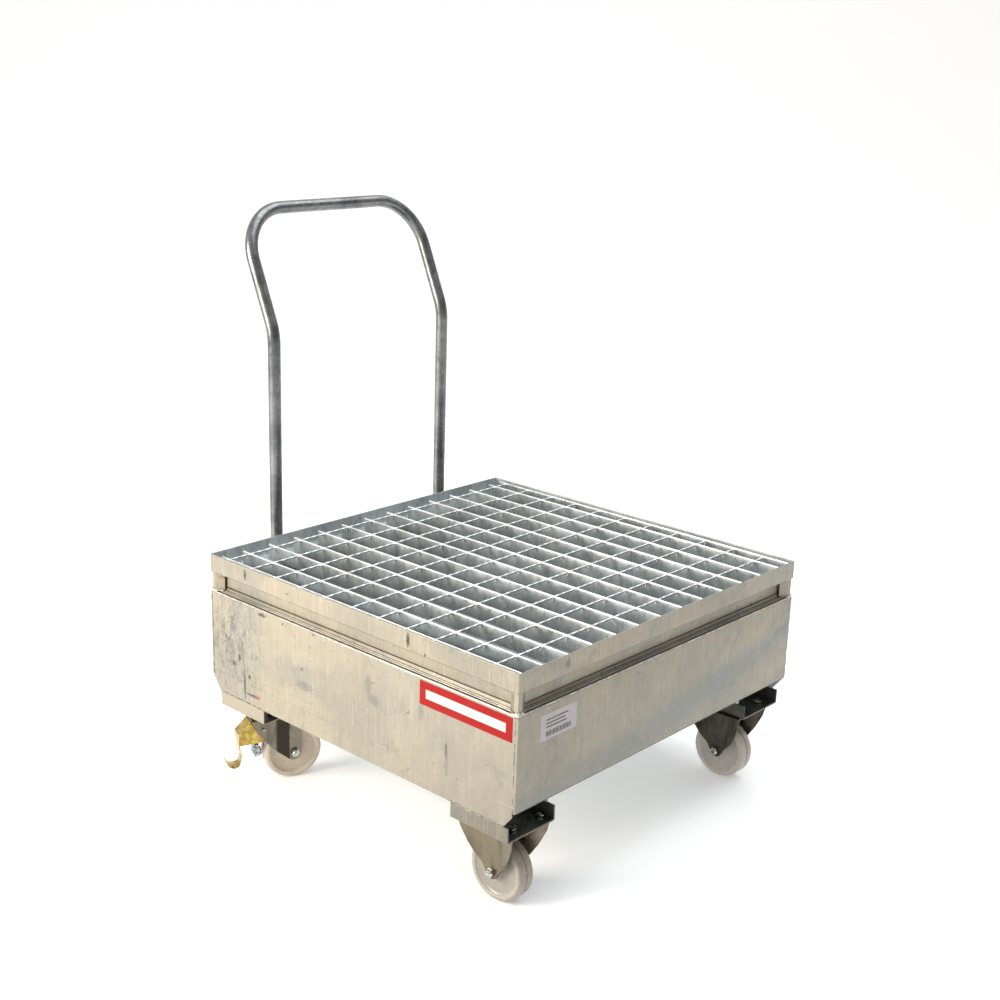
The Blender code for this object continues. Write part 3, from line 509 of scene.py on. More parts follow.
def nylon_material(name, light, dark, dished):
    """Cast nylon, waxy and slightly dirty on the tread. The wheel's own axis is its Y."""
    s = Shader(name)
    colour = s.mix(s.ramp(s.noise(26.0, 4.0), 0.36, 0.66), light, dark)
    x, y, z = s.axes()
    reach = s.maths("SQRT", s.plus(s.times(x, x), s.times(z, z)))

    def between(low, high):
        """A ramp over the reach, in parts of the wheel's radius."""
        return s.ramp(reach, low * WHEEL_R, high * WHEEL_R)

    grime = s.times(between(0.94, 0.985), s.ramp(s.noise(55.0, 4.0, 0.6), 0.40, 0.68, 0.10, 0.42))
    colour = s.mix(grime, colour, (0.30, 0.225, 0.14))
    colour = s.tinted(colour, between(0.80, 0.74), 0.5, dished)
    # Painted highlight: a bright ring round the edge of the dish.
    ring = s.times(between(0.76, 0.80), between(0.90, 0.85))
    colour = s.tinted(colour, ring, 0.55, tuple(1.25 * part for part in light))
    # Painted shade, tinted brown, along the tread's middle groove.
    groove = s.times(s.ramp(s.absolute(y), 0.0022, 0.0012), between(0.90, 0.94))
    colour = s.tinted(colour, groove, 0.8, (0.20, 0.15, 0.10))
    hub = s.times(between(0.46, 0.22), s.ramp(s.noise(60.0, 4.0), 0.3, 0.7, 0.1, 0.5))
    colour = s.mix(hub, colour, (0.20, 0.175, 0.13))
    nicks = s.ramp(s.noise(170.0, 4.0, 0.7), 0.68, 0.75, 0.0, 0.3)
    colour = s.mix(nicks, colour, (0.28, 0.23, 0.16))
    s.principled.inputs["Subsurface Weight"].default_value = 0.18
    s.principled.inputs["Subsurface Radius"].default_value = (0.9, 0.7, 0.4)
    s.principled.inputs["Subsurface Scale"].default_value = 0.006
    roughness = s.ramp(s.noise(110.0, 4.0), 0.30, 0.70, 0.20, 0.36)
    height = s.plus(s.noise(300.0, 4.0, 0.6), s.times(s.noise(40.0, 2.0), 0.8))
    return s.output(colour, roughness, height, 0.08, 0.0003)


def sticker_material(name, colour, faded):
    """Printed film, a little faded in patches."""
    s = Shader(name)
    s.principled.inputs["Specular IOR Level"].default_value = 0.15
    tone = s.mix(s.ramp(s.noise(60.0, 5.0, 0.6), 0.46, 0.72, 0.0, 0.55), colour, faded)
    roughness = s.ramp(s.noise(150.0, 3.0), 0.3, 0.7, 0.28, 0.42)
    return s.output(tone, roughness, s.noise(90.0, 3.0), 0.08, 0.0002)


# ---------------------------------------------------------------- mesh helpers

WELD_STEP = 0.0011
HEX_POINTS = 24
FORMED_ANGLE = 30.0
ROUND_SHARP = 50.0
WELD_SHARP = 60.0


def add_object(obj):
    bpy.context.scene.collection.objects.link(obj)


def piece(name, bm, material, body, matrix=None, sharp=34.0):
    """Makes an object from a mesh, shades it, and lets it ride on a body of the frame."""
    bmesh.ops.recalc_face_normals(bm, faces=bm.faces)
    mesh = bpy.data.meshes.new(name)
    bm.to_mesh(mesh)
    bm.free()
    mesh.materials.append(material)
    mesh.shade_smooth()
    mesh.set_sharp_from_angle(angle=math.radians(sharp))
    obj = bpy.data.objects.new(name, mesh)
    if matrix is not None:
        obj.matrix_world = matrix
    add_object(obj)
    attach(obj, body)
    return obj


def stand_in(node, bm, material, matrix=None, sharp=34.0):
    """A finer piece in place of a CAD node, on the same body."""
    obj = piece("visual_" + node, bm, material, BODY_OF[node], matrix, sharp)
    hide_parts(node)
    return obj


def softened(node, material, width=0.0006, angle=40.0):
    """A copy of a CAD node whose sharp edges are rounded over, in place of the node."""
    bm = bmesh.new()
    bm.from_mesh(NODES[node].data)
    bmesh.ops.remove_doubles(bm, verts=bm.verts, dist=0.00001)
    bmesh.ops.dissolve_limit(
        bm, angle_limit=math.radians(1.0), verts=bm.verts, edges=bm.edges, use_dissolve_boundaries=False,
    )
    bevel = stand_in(node, bm, material).modifiers.new("rounded edges", "BEVEL")
    bevel.width = width
    bevel.segments = 2
    bevel.limit_method = "ANGLE"
    bevel.angle_limit = math.radians(angle)
    bevel.use_clamp_overlap = False
    bevel.harden_normals = True


def bridge(bm, first, second):
    """Faces between two rings of the same number of points."""
    for n in range(len(first)):
        m = (n + 1) % len(first)
        bm.faces.new((first[n], first[m], second[m], second[n]))


def sweep(bm, path, section, closed=False):
    """Sweeps a closed outline, given as section(step) in (side, up) points, along a path of points."""
    loops = []
    count = len(path)
    for index, point in enumerate(path):
        before = path[index - 1] if index or closed else point
        after = path[(index + 1) % count] if index < count - 1 or closed else point
        ahead = (Vector(after) - Vector(before)).normalized()
        side = ahead.cross(UP)
        if side.length < 0.1:
            side = ahead.cross(Vector((1.0, 0.0, 0.0)))
        side.normalize()
        up = side.cross(ahead)
        loops.append([bm.verts.new(Vector(point) + side * u + up * v) for u, v in section(index)])
    pairs = list(zip(loops, loops[1:]))
    if closed:
        pairs.append((loops[-1], loops[0]))
    for first, second in pairs:
        bridge(bm, first, second)
    if not closed:
        bm.faces.new(loops[0])
        bm.faces.new(loops[-1][::-1])


def round_section(half_wide, half_high, count=8):
    """An ellipse as (side, up) points."""
    angles = [math.tau * n / count for n in range(count)]
    return [(half_wide * math.cos(a), half_high * math.sin(a)) for a in angles]


def even_points(corners, step):
    """Points at about the same spacing along straight runs between corners."""
    points = []
    for start, end in zip(corners, corners[1:]):
        start = Vector(start)
        end = Vector(end)
        count = max(1, round((end - start).length / step))
        points += [start.lerp(end, n / count) for n in range(count)]
    return points + [Vector(corners[-1])]


def add_weld(bm, corners, radius, seed, pitch=0.0035):
    """A weld bead: overlapping ripples that wander a little, drawn in at both ends."""
    drift = random.Random(seed)
    offset = Vector((drift.random() * 50, 0.0, 0.0))
    placed = []
    for point in even_points(corners, WELD_STEP):
        wander = noise.noise_vector(point * 90.0 + offset) * (0.35 * radius)
        placed.append(point + wander)

    def section(index):
        ripple = abs(math.sin(math.pi * index * WELD_STEP / pitch))
        end = min(1.0, (min(index, len(placed) - 1 - index) + 0.6) / 2.5)
        lumps = noise.noise(placed[index] * 160.0 + offset)
        size = radius * end * (0.74 + 0.26 * ripple + 0.25 * lumps)
        return round_section(size, size)

    sweep(bm, placed, section)


def add_turned(bm, profile, steps, closed=True):
    """Turns (radius, height) points about Z. An open profile starts and ends on Z."""
    loops = []
    for radius, height in profile:
        if radius < 0.00001:
            loops.append([bm.verts.new((0.0, 0.0, height))])
            continue
        angles = [math.tau * n / steps for n in range(steps)]
        loops.append([bm.verts.new((radius * math.cos(a), radius * math.sin(a), height)) for a in angles])
    pairs = list(zip(loops, loops[1:]))
    if closed:
        pairs.append((loops[-1], loops[0]))
    for first, second in pairs:
        if len(first) == len(second):
            bridge(bm, first, second)
            continue
        for n in range(steps):
            m = (n + 1) % steps
            if len(first) == 1:
                bm.faces.new((first[0], second[m], second[n]))
            else:
                bm.faces.new((first[n], first[m], second[0]))


def add_hex(bm, across, low, high, chamfer_low, chamfer_high):
    """A hexagon along Z whose corners are cut back on the chamfered ends, as on a real nut."""
    radius = across / math.sqrt(3)
    cut = 0.22 * (radius - across / 2) + 0.0006
    face_limit = across / 2 * 0.98
    levels = [(low, face_limit), (low + cut, radius)] if chamfer_low else [(low, radius)]
    levels += [(high - cut, radius), (high, face_limit)] if chamfer_high else [(high, radius)]
    loops = []
    for height, limit in levels:
        loop = []
        for n in range(HEX_POINTS):
            angle = math.tau * n / HEX_POINTS
            turn = (angle + math.pi / 6) % (math.pi / 3) - math.pi / 6
            reach = min((across / 2) / math.cos(turn), limit)
            loop.append(bm.verts.new((reach * math.cos(angle), reach * math.sin(angle), height)))
        loops.append(loop)
    for first, second in zip(loops, loops[1:]):
        bridge(bm, first, second)
    bm.faces.new(loops[0][::-1])
    bm.faces.new(loops[-1])


def facing(place, axis, turn_deg):
    """A matrix that puts a shape made along Z at a place, along an axis, turned about that axis."""
    spin = Matrix.Rotation(math.radians(turn_deg), 4, "Z")
    return Matrix.Translation(place) @ Vector(axis).to_track_quat("Z", "Y").to_matrix().to_4x4() @ spin


def rounded_box(bm, low, high, radius):
    """A box between two corners, with its edges rounded."""
    size = [b - a for a, b in zip(low, high)]
    middle = [(a + b) / 2 for a, b in zip(low, high)]
    shape = Matrix.Translation(middle) @ Matrix.Diagonal((*size, 1.0))
    made = bmesh.ops.create_cube(bm, size=1.0, matrix=shape)
    edges = list({edge for vert in made["verts"] for edge in vert.link_edges})
    bmesh.ops.bevel(bm, geom=edges, offset=radius, segments=2, profile=0.5, affect="EDGES")


# ---------------------------------------------------------------- tray and rim

LEDGE_FOLDS = ((0.0092, 0.0008), (0.0144, 0.0012))
FOLD_HALF = 0.0013
POST_OUTLINE = ((0.0300, 0.0122), (0.0133, 0.0020), (0.0022, 0.0020), (0.0020, 0.0133), (0.0122, 0.0300))
SKIRT_WELD_GAP = 0.012


def make_tray():
    """The folded sheet: tray, rim, posts, shelf, bearers and castor channels."""
    softened("sump_tray", tray_material(), 0.0007)
    softened("rim_frame", rim_material(), 0.0008)
    posts = post_material()
    for end in ("front", "rear"):
        for side, _ in SIDES:
            softened(f"corner_post_{end}_{side}", posts, 0.0007)
    inside = inside_material()
    softened("grating_support_angle", inside, 0.0006)
    for side, _ in SIDES:
        softened(f"floor_bearer_{side}", inside, 0.0006)
        for end in ("front", "rear"):
            softened(f"{end}_{side}_castor_channel", CHANNEL, 0.0006)


def tray_corner(sign_x, sign_y, inset_x, inset_y, z):
    """A point so far inside one corner of the tray's outline."""
    return Vector((MIDDLE_X + sign_x * (HALF_X - inset_x), sign_y * (HALF_Y - inset_y), z))


def ring_path(inset, z, radius, step=0.02):
    """A rounded rectangle round the tray, as closely spaced points."""
    points = []
    for sign_x, sign_y, start in ((1, 1, 0), (-1, 1, 90), (-1, -1, 180), (1, -1, 270)):
        centre = tray_corner(sign_x, sign_y, inset + radius, inset + radius, z)
        for n in range(5):
            angle = math.radians(start + 22.5 * n)
            points.append(centre + Vector((radius * math.cos(angle), radius * math.sin(angle), 0.0)))
    dense = []
    for first, second in zip(points, points[1:] + points[:1]):
        count = max(1, round((second - first).length / step))
        dense += [first.lerp(second, n / count) for n in range(count)]
    return dense


def make_ledge_folds():
    """The two folded lips that run round the ledge, and its outer edge: both painted paler than the sheet, as
    highlights.
    """
    bm = bmesh.new()
    for inset, height in LEDGE_FOLDS:
        path = []
        for point in ring_path(inset, LEDGE_Z + height, 0.010, 0.05):
            sway = noise.noise(point * 9.0) * 0.0001
            path.append(point + Vector((0.0, 0.0, sway)))
        ring = round_section(FOLD_HALF, 0.9 * FOLD_HALF)
        sweep(bm, path, lambda index, ring=ring: ring, closed=True)
    piece("ledge_folds", bm, LEDGE_HIGHLIGHT_METAL, "chassis")
    bm = bmesh.new()
    lip = round_section(0.0016, 0.0013, 10)
    path = []
    for point in ring_path(0.0017, LEDGE_Z - 0.0006, 0.003, 0.008):
        path.append(point + Vector((0.0, 0.0, noise.noise(point * 30.0) * 0.0002)))
    sweep(bm, path, lambda index: lip, closed=True)
    piece("ledge_edge", bm, EDGE_HIGHLIGHT_METAL, "chassis")


def make_corner_welds():
    """Beads round the foot and head of each corner post, and a lump in the outer corner of its foot."""
    bm = bmesh.new()
    foot = LEDGE_Z + 0.0022
    seed = 1
    for sx in (-1, 1):
        for sy in (-1, 1):
            add_weld(bm, [tray_corner(sx, sy, u, v, foot) for u, v in POST_OUTLINE], 0.0024, seed)
            lump_start = tray_corner(sx, sy, 0.0020, 0.0060, foot + 0.0006)
            lump_end = tray_corner(sx, sy, 0.0100, 0.0018, foot + 0.0010)
            add_weld(bm, [lump_start, lump_end], 0.0032, seed + 10)
            head = [tray_corner(sx, sy, u + 0.0008, v + 0.0008, BAND_Z - 0.0006) for u, v in POST_OUTLINE]
            add_weld(bm, head, 0.0013, seed + 20)
            seed += 1
    piece("corner_welds", bm, WELD, "chassis", sharp=WELD_SHARP)


def make_skirt_welds():
    """Short beads where the channels meet the skirts."""
    bm = bmesh.new()
    for end in ("front", "rear"):
        low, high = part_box(f"{end}_left_castor_channel")
        for sy in (-1, 1):
            y = sy * (HALF_Y - 0.0002)
            start = low.x + SKIRT_WELD_GAP
            while start < high.x - 0.030:
                length = 0.014 + 0.010 * noise.noise(Vector((start * 70.0, sy * 3.0, 0.0)))
                bead = [(start, y, SKIRT_Z), (start + length, y, SKIRT_Z - 0.0002)]
                add_weld(bm, bead, 0.0012, round(start * 1000))
                start += length + SKIRT_WELD_GAP
    piece("skirt_welds", bm, SHEET_WELD, "chassis", sharp=WELD_SHARP)


def make_corner_seams():
    """The ground weld down each lower corner of the sump."""
    bm = bmesh.new()
    for sx in (-1, 1):
        for sy in (-1, 1):
            heights = (SUMP_FLOOR_Z + 0.004, LEDGE_Z - 0.002)
            path = [tray_corner(sx, sy, 0.0016, 0.0016, z) for z in heights]
            add_weld(bm, path, 0.0016, 40 + 2 * sx + sy, pitch=0.0060)
    piece("corner_seams", bm, SHEET_WELD, "chassis", sharp=WELD_SHARP)


# ---------------------------------------------------------------- grating

BAR_PITCH = 0.0688
BAR_COUNT = 12
BAR_FIRST_Y = -0.3756
EDGE_BAR_Y = 0.4202
BAR_HALF = 0.0012
ROD_PITCH = 0.0753
ROD_COUNT = 11
ROD_HALF = 0.0019
ROD_TWIST = 0.085
ROD_STEPS = 150


def make_bars(bar_ys, low, high):
    """Bearing bars with rounded edges. They take the place of the CAD grating."""
    bm = bmesh.new()
    for y in bar_ys:
        rounded_box(bm, (low.x, y - BAR_HALF, low.z), (high.x, y + BAR_HALF, high.z), 0.0005)
    bars = piece("visual_grating_bars", bm, GRATING, "grating")
    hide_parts("grating")


def make_rods(rod_xs, rod_z, low, high):
    """Cross rods, slightly square and twisted along their length."""
    bm = bmesh.new()
    for x in rod_xs:
        path = [Vector((x, low.y + (high.y - low.y) * n / ROD_STEPS, rod_z)) for n in range(ROD_STEPS + 1)]
        shift = math.tau * noise.noise(Vector((x * 40.0, 0.0, 0.0)))

        def twisted(index, shift=shift):
            turn = shift + math.tau * (high.y - low.y) * index / ROD_STEPS / ROD_TWIST
            corners = [(turn + math.tau * (n + 0.5) / 8, ROD_HALF * (1.20, 1.06)[n % 2]) for n in range(8)]
            return [(reach * math.cos(a), reach * math.sin(a)) for a, reach in corners]

        sweep(bm, path, twisted)
    piece("visual_grating_rods", bm, GRATING, "grating", sharp=ROUND_SHARP)


def add_blob(bm, centre, size):
    shape = Matrix.Translation(centre) @ Matrix.Diagonal((*size, 1.0))
    bmesh.ops.create_icosphere(bm, subdivisions=2, radius=1.0, matrix=shape)


def make_drops(rod_xs, bar_ys, rod_z):
    """The zinc that gathers at each crossing, with a drop hanging under most of them, coloured near white as
    painted glints.
    """
    bm = bmesh.new()
    chance = random.Random(7)
    for x in rod_xs:
        for y in bar_ys:
            size = 0.9 + 0.5 * chance.random()
            for side in (-1, 1):
                place = (x + chance.uniform(-0.0008, 0.0008), y + side * 0.0016, rod_z)
                add_blob(bm, place, (0.0042 * size, 0.0021 * size, 0.0027 * size))
            if chance.random() < 0.8:
                long = chance.uniform(0.0022, 0.0052)
                place = (x + chance.uniform(-0.002, 0.002), y - 0.0020, rod_z - 0.0022 - long * 0.8)
                add_blob(bm, place, (0.0013, 0.0012, long))
    piece("grating_zinc_drops", bm, GLINTING_DROPS, "grating", sharp=180)


def make_grating():
    low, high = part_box("grating")
    bar_ys = [low.y + 0.0052] + [BAR_FIRST_Y + BAR_PITCH * n for n in range(BAR_COUNT)] + [EDGE_BAR_Y]
    rod_xs = [low.x + 0.020 + ROD_PITCH * n for n in range(ROD_COUNT)]
    rod_z = high.z - 0.0034
    make_bars(bar_ys, low, high)
    make_rods(rod_xs, rod_z, low, high)
    make_drops(rod_xs, bar_ys, rod_z)


# ---------------------------------------------------------------- push handle

HANDLE_BEND_R = 0.110
KINK_R = 0.120
TUBE_R = 0.0135
TUBE_WALL = 0.0026
KINK_Z = 0.945
TUBE_POINTS = 32


def rounded_path(corners, segments):
    """Points along straight runs whose corners are rounded. Each corner is (point, radius)."""
    points = [Vector(corners[0][0])]
    for index in range(1, len(corners) - 1):
        corner = Vector(corners[index][0])
        radius = corners[index][1]
        before = (Vector(corners[index - 1][0]) - corner).normalized()
        after = (Vector(corners[index + 1][0]) - corner).normalized()
        half = before.angle(after) / 2
        reach = radius / math.tan(half)
        centre = corner + (before + after).normalized() * (radius / math.sin(half))
        start = (corner + before * reach - centre).normalized()
        end = (corner + after * reach - centre).normalized()
        points += [centre + start.slerp(end, n / segments) * radius for n in range(segments + 1)]
    points.append(Vector(corners[-1][0]))
    return points


def make_handle():
    """One bent tube, open at its lower ends."""
    low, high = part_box("push_handle")
    front_x = high.x - TUBE_R
    half_y = high.y - TUBE_R
    corners = []
    for side in (-1, 1):
        leg = [
            ((front_x, side * half_y, low.z), 0.0),
            ((front_x, side * half_y, KINK_Z), KINK_R),
            ((low.x + TUBE_R, side * half_y, high.z - TUBE_R), HANDLE_BEND_R),
        ]
        corners += leg if side < 0 else leg[::-1]
    path = even_points(rounded_path(corners, 20), 0.030)
    bm = bmesh.new()
    outer = tube_rings(bm, path, TUBE_R)
    inner = tube_rings(bm, path, TUBE_R - TUBE_WALL)
    for rings in (outer, inner):
        for first, second in zip(rings, rings[1:]):
            bridge(bm, first, second)
    for end in (0, -1):
        bridge(bm, outer[end], inner[end])
    stand_in("push_handle", bm, HANDLE, sharp=ROUND_SHARP)


def make_handle_welds():
    """A bead down each side of each leg, on the band and on the tray."""
    low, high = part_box("push_handle")
    x = high.x - 0.0016
    beads = ((BAND_Z + 0.004, TOP_Z - 0.003, 0.0036), (low.z + 0.020, LEDGE_Z - 0.030, 0.0030))
    bm = bmesh.new()
    seed = 60
    for side in (-1, 1):
        for edge in (-1, 1):
            y = side * (high.y - TUBE_R) + edge * 0.0085
            for bottom, top, size in beads:
                add_weld(bm, [(x, y, bottom), (x, y + 0.0004, top)], size, seed)
                seed += 1
    piece("handle_welds", bm, WELD, "chassis", sharp=WELD_SHARP)


def tube_rings(bm, path, radius):
    """Rings of points square to a path that bends in any direction."""
    rings = []
    side = None
    for index, point in enumerate(path):
        ahead = path[min(index + 1, len(path) - 1)] - path[max(index - 1, 0)]
        ahead.normalize()
        if side is None:
            side = ahead.orthogonal().normalized()
        side = (side - ahead * side.dot(ahead)).normalized()
        other = ahead.cross(side)
        ring = []
        for n in range(TUBE_POINTS):
            angle = math.tau * n / TUBE_POINTS
            place = point + side * radius * math.cos(angle) + other * radius * math.sin(angle)
            ring.append(bm.verts.new(place))
        rings.append(ring)
    return rings


# ---------------------------------------------------------------- fasteners

def bolt_mesh(bm, across, head, shank_r, seat, end, washer):
    """A bolt along Z: head above seat, washer under it, shank down to end with its chamfered tip."""
    add_hex(bm, across, seat + washer, seat + washer + head, False, True)
    if washer:
        ring = [(across * 0.62, seat), (across * 0.62 + 0.0003, seat + 0.0004)]
        ring += [(across * 0.62, seat + washer), (shank_r, seat + washer), (shank_r, seat)]
        add_turned(bm, ring, 32)
    profile = [(0.0, end), (shank_r - 0.0010, end), (shank_r, end + 0.0010), (shank_r, seat), (0.0, seat)]
    add_turned(bm, profile, 24, closed=False)


def add_thread(bm, radius, low, high, pitch=0.0012):
    """Rings of a fine thread between two heights."""
    profile = [(0.0, low)]
    height = low
    while height < high - pitch:
        profile += [(radius - 0.0005, height), (radius, height + 0.5 * pitch)]
        height += pitch
    profile += [(radius - 0.0005, height), (radius - 0.0012, high), (0.0, high)]
    add_turned(bm, profile, 24, closed=False)


def make_plate_bolts(prefix, centre, spread_x, spread_y, plate_low):
    """Four bolts that hold a castor plate to its channel, heads under the plate and nuts in the channel."""
    heads = bmesh.new()
    nuts = bmesh.new()
    for sx in (-1, 1):
        for sy in (-1, 1):
            move = Matrix.Translation((centre.x + sx * spread_x, centre.y + sy * spread_y, 0.0))
            turn = Matrix.Rotation(1.3 * sx + 0.7 * sy + centre.y * 9.0, 4, "Z")
            head = bmesh.new()
            add_hex(head, 0.0150, plate_low - 0.0062, plate_low - 0.0001, True, False)
            merge(heads, head, move @ turn)
            nut = bmesh.new()
            floor = CHANNEL_FLOOR_Z
            ring = [(0.0098, floor + 0.0001), (0.0101, floor + 0.0006), (0.0098, floor + 0.0018)]
            ring += [(0.0044, floor + 0.0018), (0.0044, floor + 0.0001)]
            add_turned(nut, ring, 32)
            add_hex(nut, 0.0150, floor + 0.0019, floor + 0.0080, True, True)
            add_thread(nut, 0.0045, floor + 0.0060, floor + 0.0104)
            merge(nuts, nut, move @ turn)
    piece(f"{prefix}_plate_bolt_heads", heads, BRIGHT, "chassis")
    piece(f"{prefix}_plate_nuts", nuts, SHADED_ZINC, "chassis")


def merge(target, source, matrix):
    """Adds one mesh to another, moved by a matrix."""
    bmesh.ops.transform(source, matrix=matrix, verts=source.verts)
    mesh = bpy.data.meshes.new("part")
    source.to_mesh(mesh)
    source.free()
    target.from_mesh(mesh)
    bpy.data.meshes.remove(mesh)


def make_axle(prefix, centre, axis):
    """Axle bolt with its head and washer outside one fork leg, and a lock nut outside the other."""
    bolt_node = f"{prefix}_axle_bolt"
    low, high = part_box(bolt_node)
    head_side = (low + high) / 2 - centre
    along = Vector(axis) if head_side.dot(Vector(axis)) > 0 else -Vector(axis)
    seat = LEG_OUTER + 0.0002
    bm = bmesh.new()
    bolt_mesh(bm, 0.0160, 0.0062, 0.0048, seat, -(seat + 0.0112), 0.0016)
    # The far castor's axle bolt takes the darkened zinc, which is painted shade.
    metal = SHADED_ZINC if prefix == "front_left" else BRIGHT
    stand_in(bolt_node, bm, metal, facing(centre, along, 12.0))
    bm = bmesh.new()
    add_hex(bm, 0.0165, seat + 0.0002, seat + 0.0066, True, False)
    dome = [(0.0078, 0.0060), (0.0074, 0.0078), (0.0062, 0.0092), (0.0050, 0.0094), (0.0050, 0.0060)]
    add_turned(bm, [(radius, seat + height) for radius, height in dome], 24)
    stand_in(f"{prefix}_axle_nut", bm, BRIGHT, facing(centre, -along, 25.0))


# ---------------------------------------------------------------- castors

WHEEL_R = 0.0633
LEG_INNER = 0.0276
LEG_SHEET = 0.0026
LEG_OUTER = LEG_INNER + LEG_SHEET
CASTOR_PLATE = 0.0030
CASTOR_PLATE_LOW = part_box("front_left_fork")[1].z - CASTOR_PLATE


def wheel_profile():
    """Half of the wheel's outline as (radius, height), from the tread's middle groove round to the bore."""
    tread = [(0.0011, 0.0), (0.0011, 0.0007), (0.0002, 0.0016), (0.0, 0.0030), (0.0002, 0.0095)]
    outline = [(WHEEL_R - depth, height) for depth, height in tread]
    for n in range(7):
        angle = math.radians(90 * n / 6)
        outline.append((WHEEL_R - 0.0062 + 0.0060 * math.cos(angle), 0.0138 + 0.0060 * math.sin(angle)))
    side = [(0.0098, 0.0198), (0.0108, 0.0192), (0.0116, 0.0178), (0.0130, 0.0160), (0.0175, 0.0143)]
    outline += [(WHEEL_R - depth, height) for depth, height in side]
    outline += [(0.0400, 0.0134), (0.0330, 0.0131), (0.0260, 0.0136)]
    outline += [(0.0205, 0.0152), (0.0182, 0.0176), (0.0172, 0.0208), (0.0162, 0.0218)]
    return outline + [(0.0120, 0.0220), (0.0084, 0.0220)]


def make_wheel(prefix, centre, axis):
    half = wheel_profile()
    profile = [(radius, -height) for radius, height in reversed(half)] + half[1:]
    bm = bmesh.new()
    add_turned(bm, profile, 96)
    bmesh.ops.rotate(bm, verts=bm.verts, matrix=Matrix.Rotation(math.radians(-90), 3, "X"))
    along = Vector(axis).normalized()
    turn = Matrix((along.cross(UP), along, UP)).transposed().to_4x4()
    stand_in(f"{prefix}_wheel", bm, NYLON[prefix], Matrix.Translation(centre) @ turn, ROUND_SHARP)


def make_front_castor(side):
    """A fixed castor: its fork is part of the chassis."""
    prefix = f"front_{side}"
    joint = JOINTS[f"{prefix}_wheel_spin"]
    centre = Vector(joint["pos_m"])
    softened(f"{prefix}_fork", FRONT_FORK[side], 0.0008, FORMED_ANGLE)
    dress(f"{prefix}_axle_sleeve", BRIGHT)
    make_wheel(prefix, centre, joint["axis"])
    make_axle(prefix, centre, joint["axis"])
    make_plate_bolts(prefix, Vector((centre.x, centre.y, 0.0)), 0.0560, 0.0375, CASTOR_PLATE_LOW)


def dress(node, material):
    """Gives a CAD node its finished material and leaves its shape alone."""
    mesh = NODES[node].data
    mesh.materials.clear()
    mesh.materials.append(material)


def make_rear_castor(side):
    """A swivel castor with its brake."""
    prefix = f"rear_{side}"
    spin = JOINTS[f"{prefix}_wheel_spin"]
    centre = Vector(spin["pos_m"])
    turn = Vector(JOINTS[f"{prefix}_swivel_turn"]["pos_m"])
    softened(f"{prefix}_fork", REAR_FORK, 0.0007, FORMED_ANGLE)
    softened(f"{prefix}_top_plate", REAR_FORK, 0.0006)
    dress(f"{prefix}_swivel_race", RACE)
    dress(f"{prefix}_kingpin", BRIGHT)
    dress(f"{prefix}_axle_sleeve", BRIGHT)
    make_wheel(prefix, centre, spin["axis"])
    make_axle(prefix, centre, spin["axis"])
    make_plate_bolts(prefix, turn, 0.0480, 0.0375, CASTOR_PLATE_LOW)
    softened(f"{prefix}_brake_pedal", CHROMATE, 0.0006, FORMED_ANGLE)
    softened(f"{prefix}_brake_shoe", SHOE, 0.0007, FORMED_ANGLE)
    softened(f"{prefix}_pedal_pin", BRIGHT, 0.0005, FORMED_ANGLE)


# ---------------------------------------------------------------- stickers

PAPER_LIFT = 0.0002
PRINT_LIFT = 0.00036
TILE_THICK = 0.00012
SIDE_STICKER_SIZE = (0.2300, 0.0480)
END_LABEL_SIZE = (0.1000, 0.0500)
PRINT_LEFT = 0.0160
RULE_HIGH = 0.0022
STRIPE_COUNT = 22
STRIPE_PITCH = 0.0031


def add_tile(bm, face_axes, u, v, lift):
    """A thin flat tile on a face given by a corner and three axes. u and v are (from, to) along the face."""
    corner, across, up, out = face_axes
    face = []
    for a, b in ((u[0], v[0]), (u[1], v[0]), (u[1], v[1]), (u[0], v[1])):
        face.append(corner + across * a + up * b + out * lift)
    low = [bm.verts.new(p) for p in face]
    high = [bm.verts.new(p + out * TILE_THICK) for p in face]
    bm.faces.new(low[::-1])
    bm.faces.new(high)
    bridge(bm, low, high)


def make_side_sticker():
    """A plain red sticker with one white bar. It says nothing."""
    corner = Vector((TRAY_HIGH.x - 0.2420, -HALF_Y, LEDGE_Z - 0.0530))
    face_axes = (corner, Vector((1, 0, 0)), UP, Vector((0, -1, 0)))
    wide, high = SIDE_STICKER_SIZE
    bm = bmesh.new()
    add_tile(bm, face_axes, (0.0, wide), (0.0, high), PAPER_LIFT)
    red = sticker_material("sticker_red", (0.30, 0.0045, 0.0040), (0.26, 0.012, 0.010))
    piece("side_sticker", bm, red, "chassis")
    bm = bmesh.new()
    add_tile(bm, face_axes, (0.0160, 0.2140), (0.0150, 0.0330), PRINT_LIFT)
    white = sticker_material("sticker_white", (0.52, 0.52, 0.515), (0.44, 0.44, 0.43))
    piece("side_sticker_bar", bm, white, "chassis")


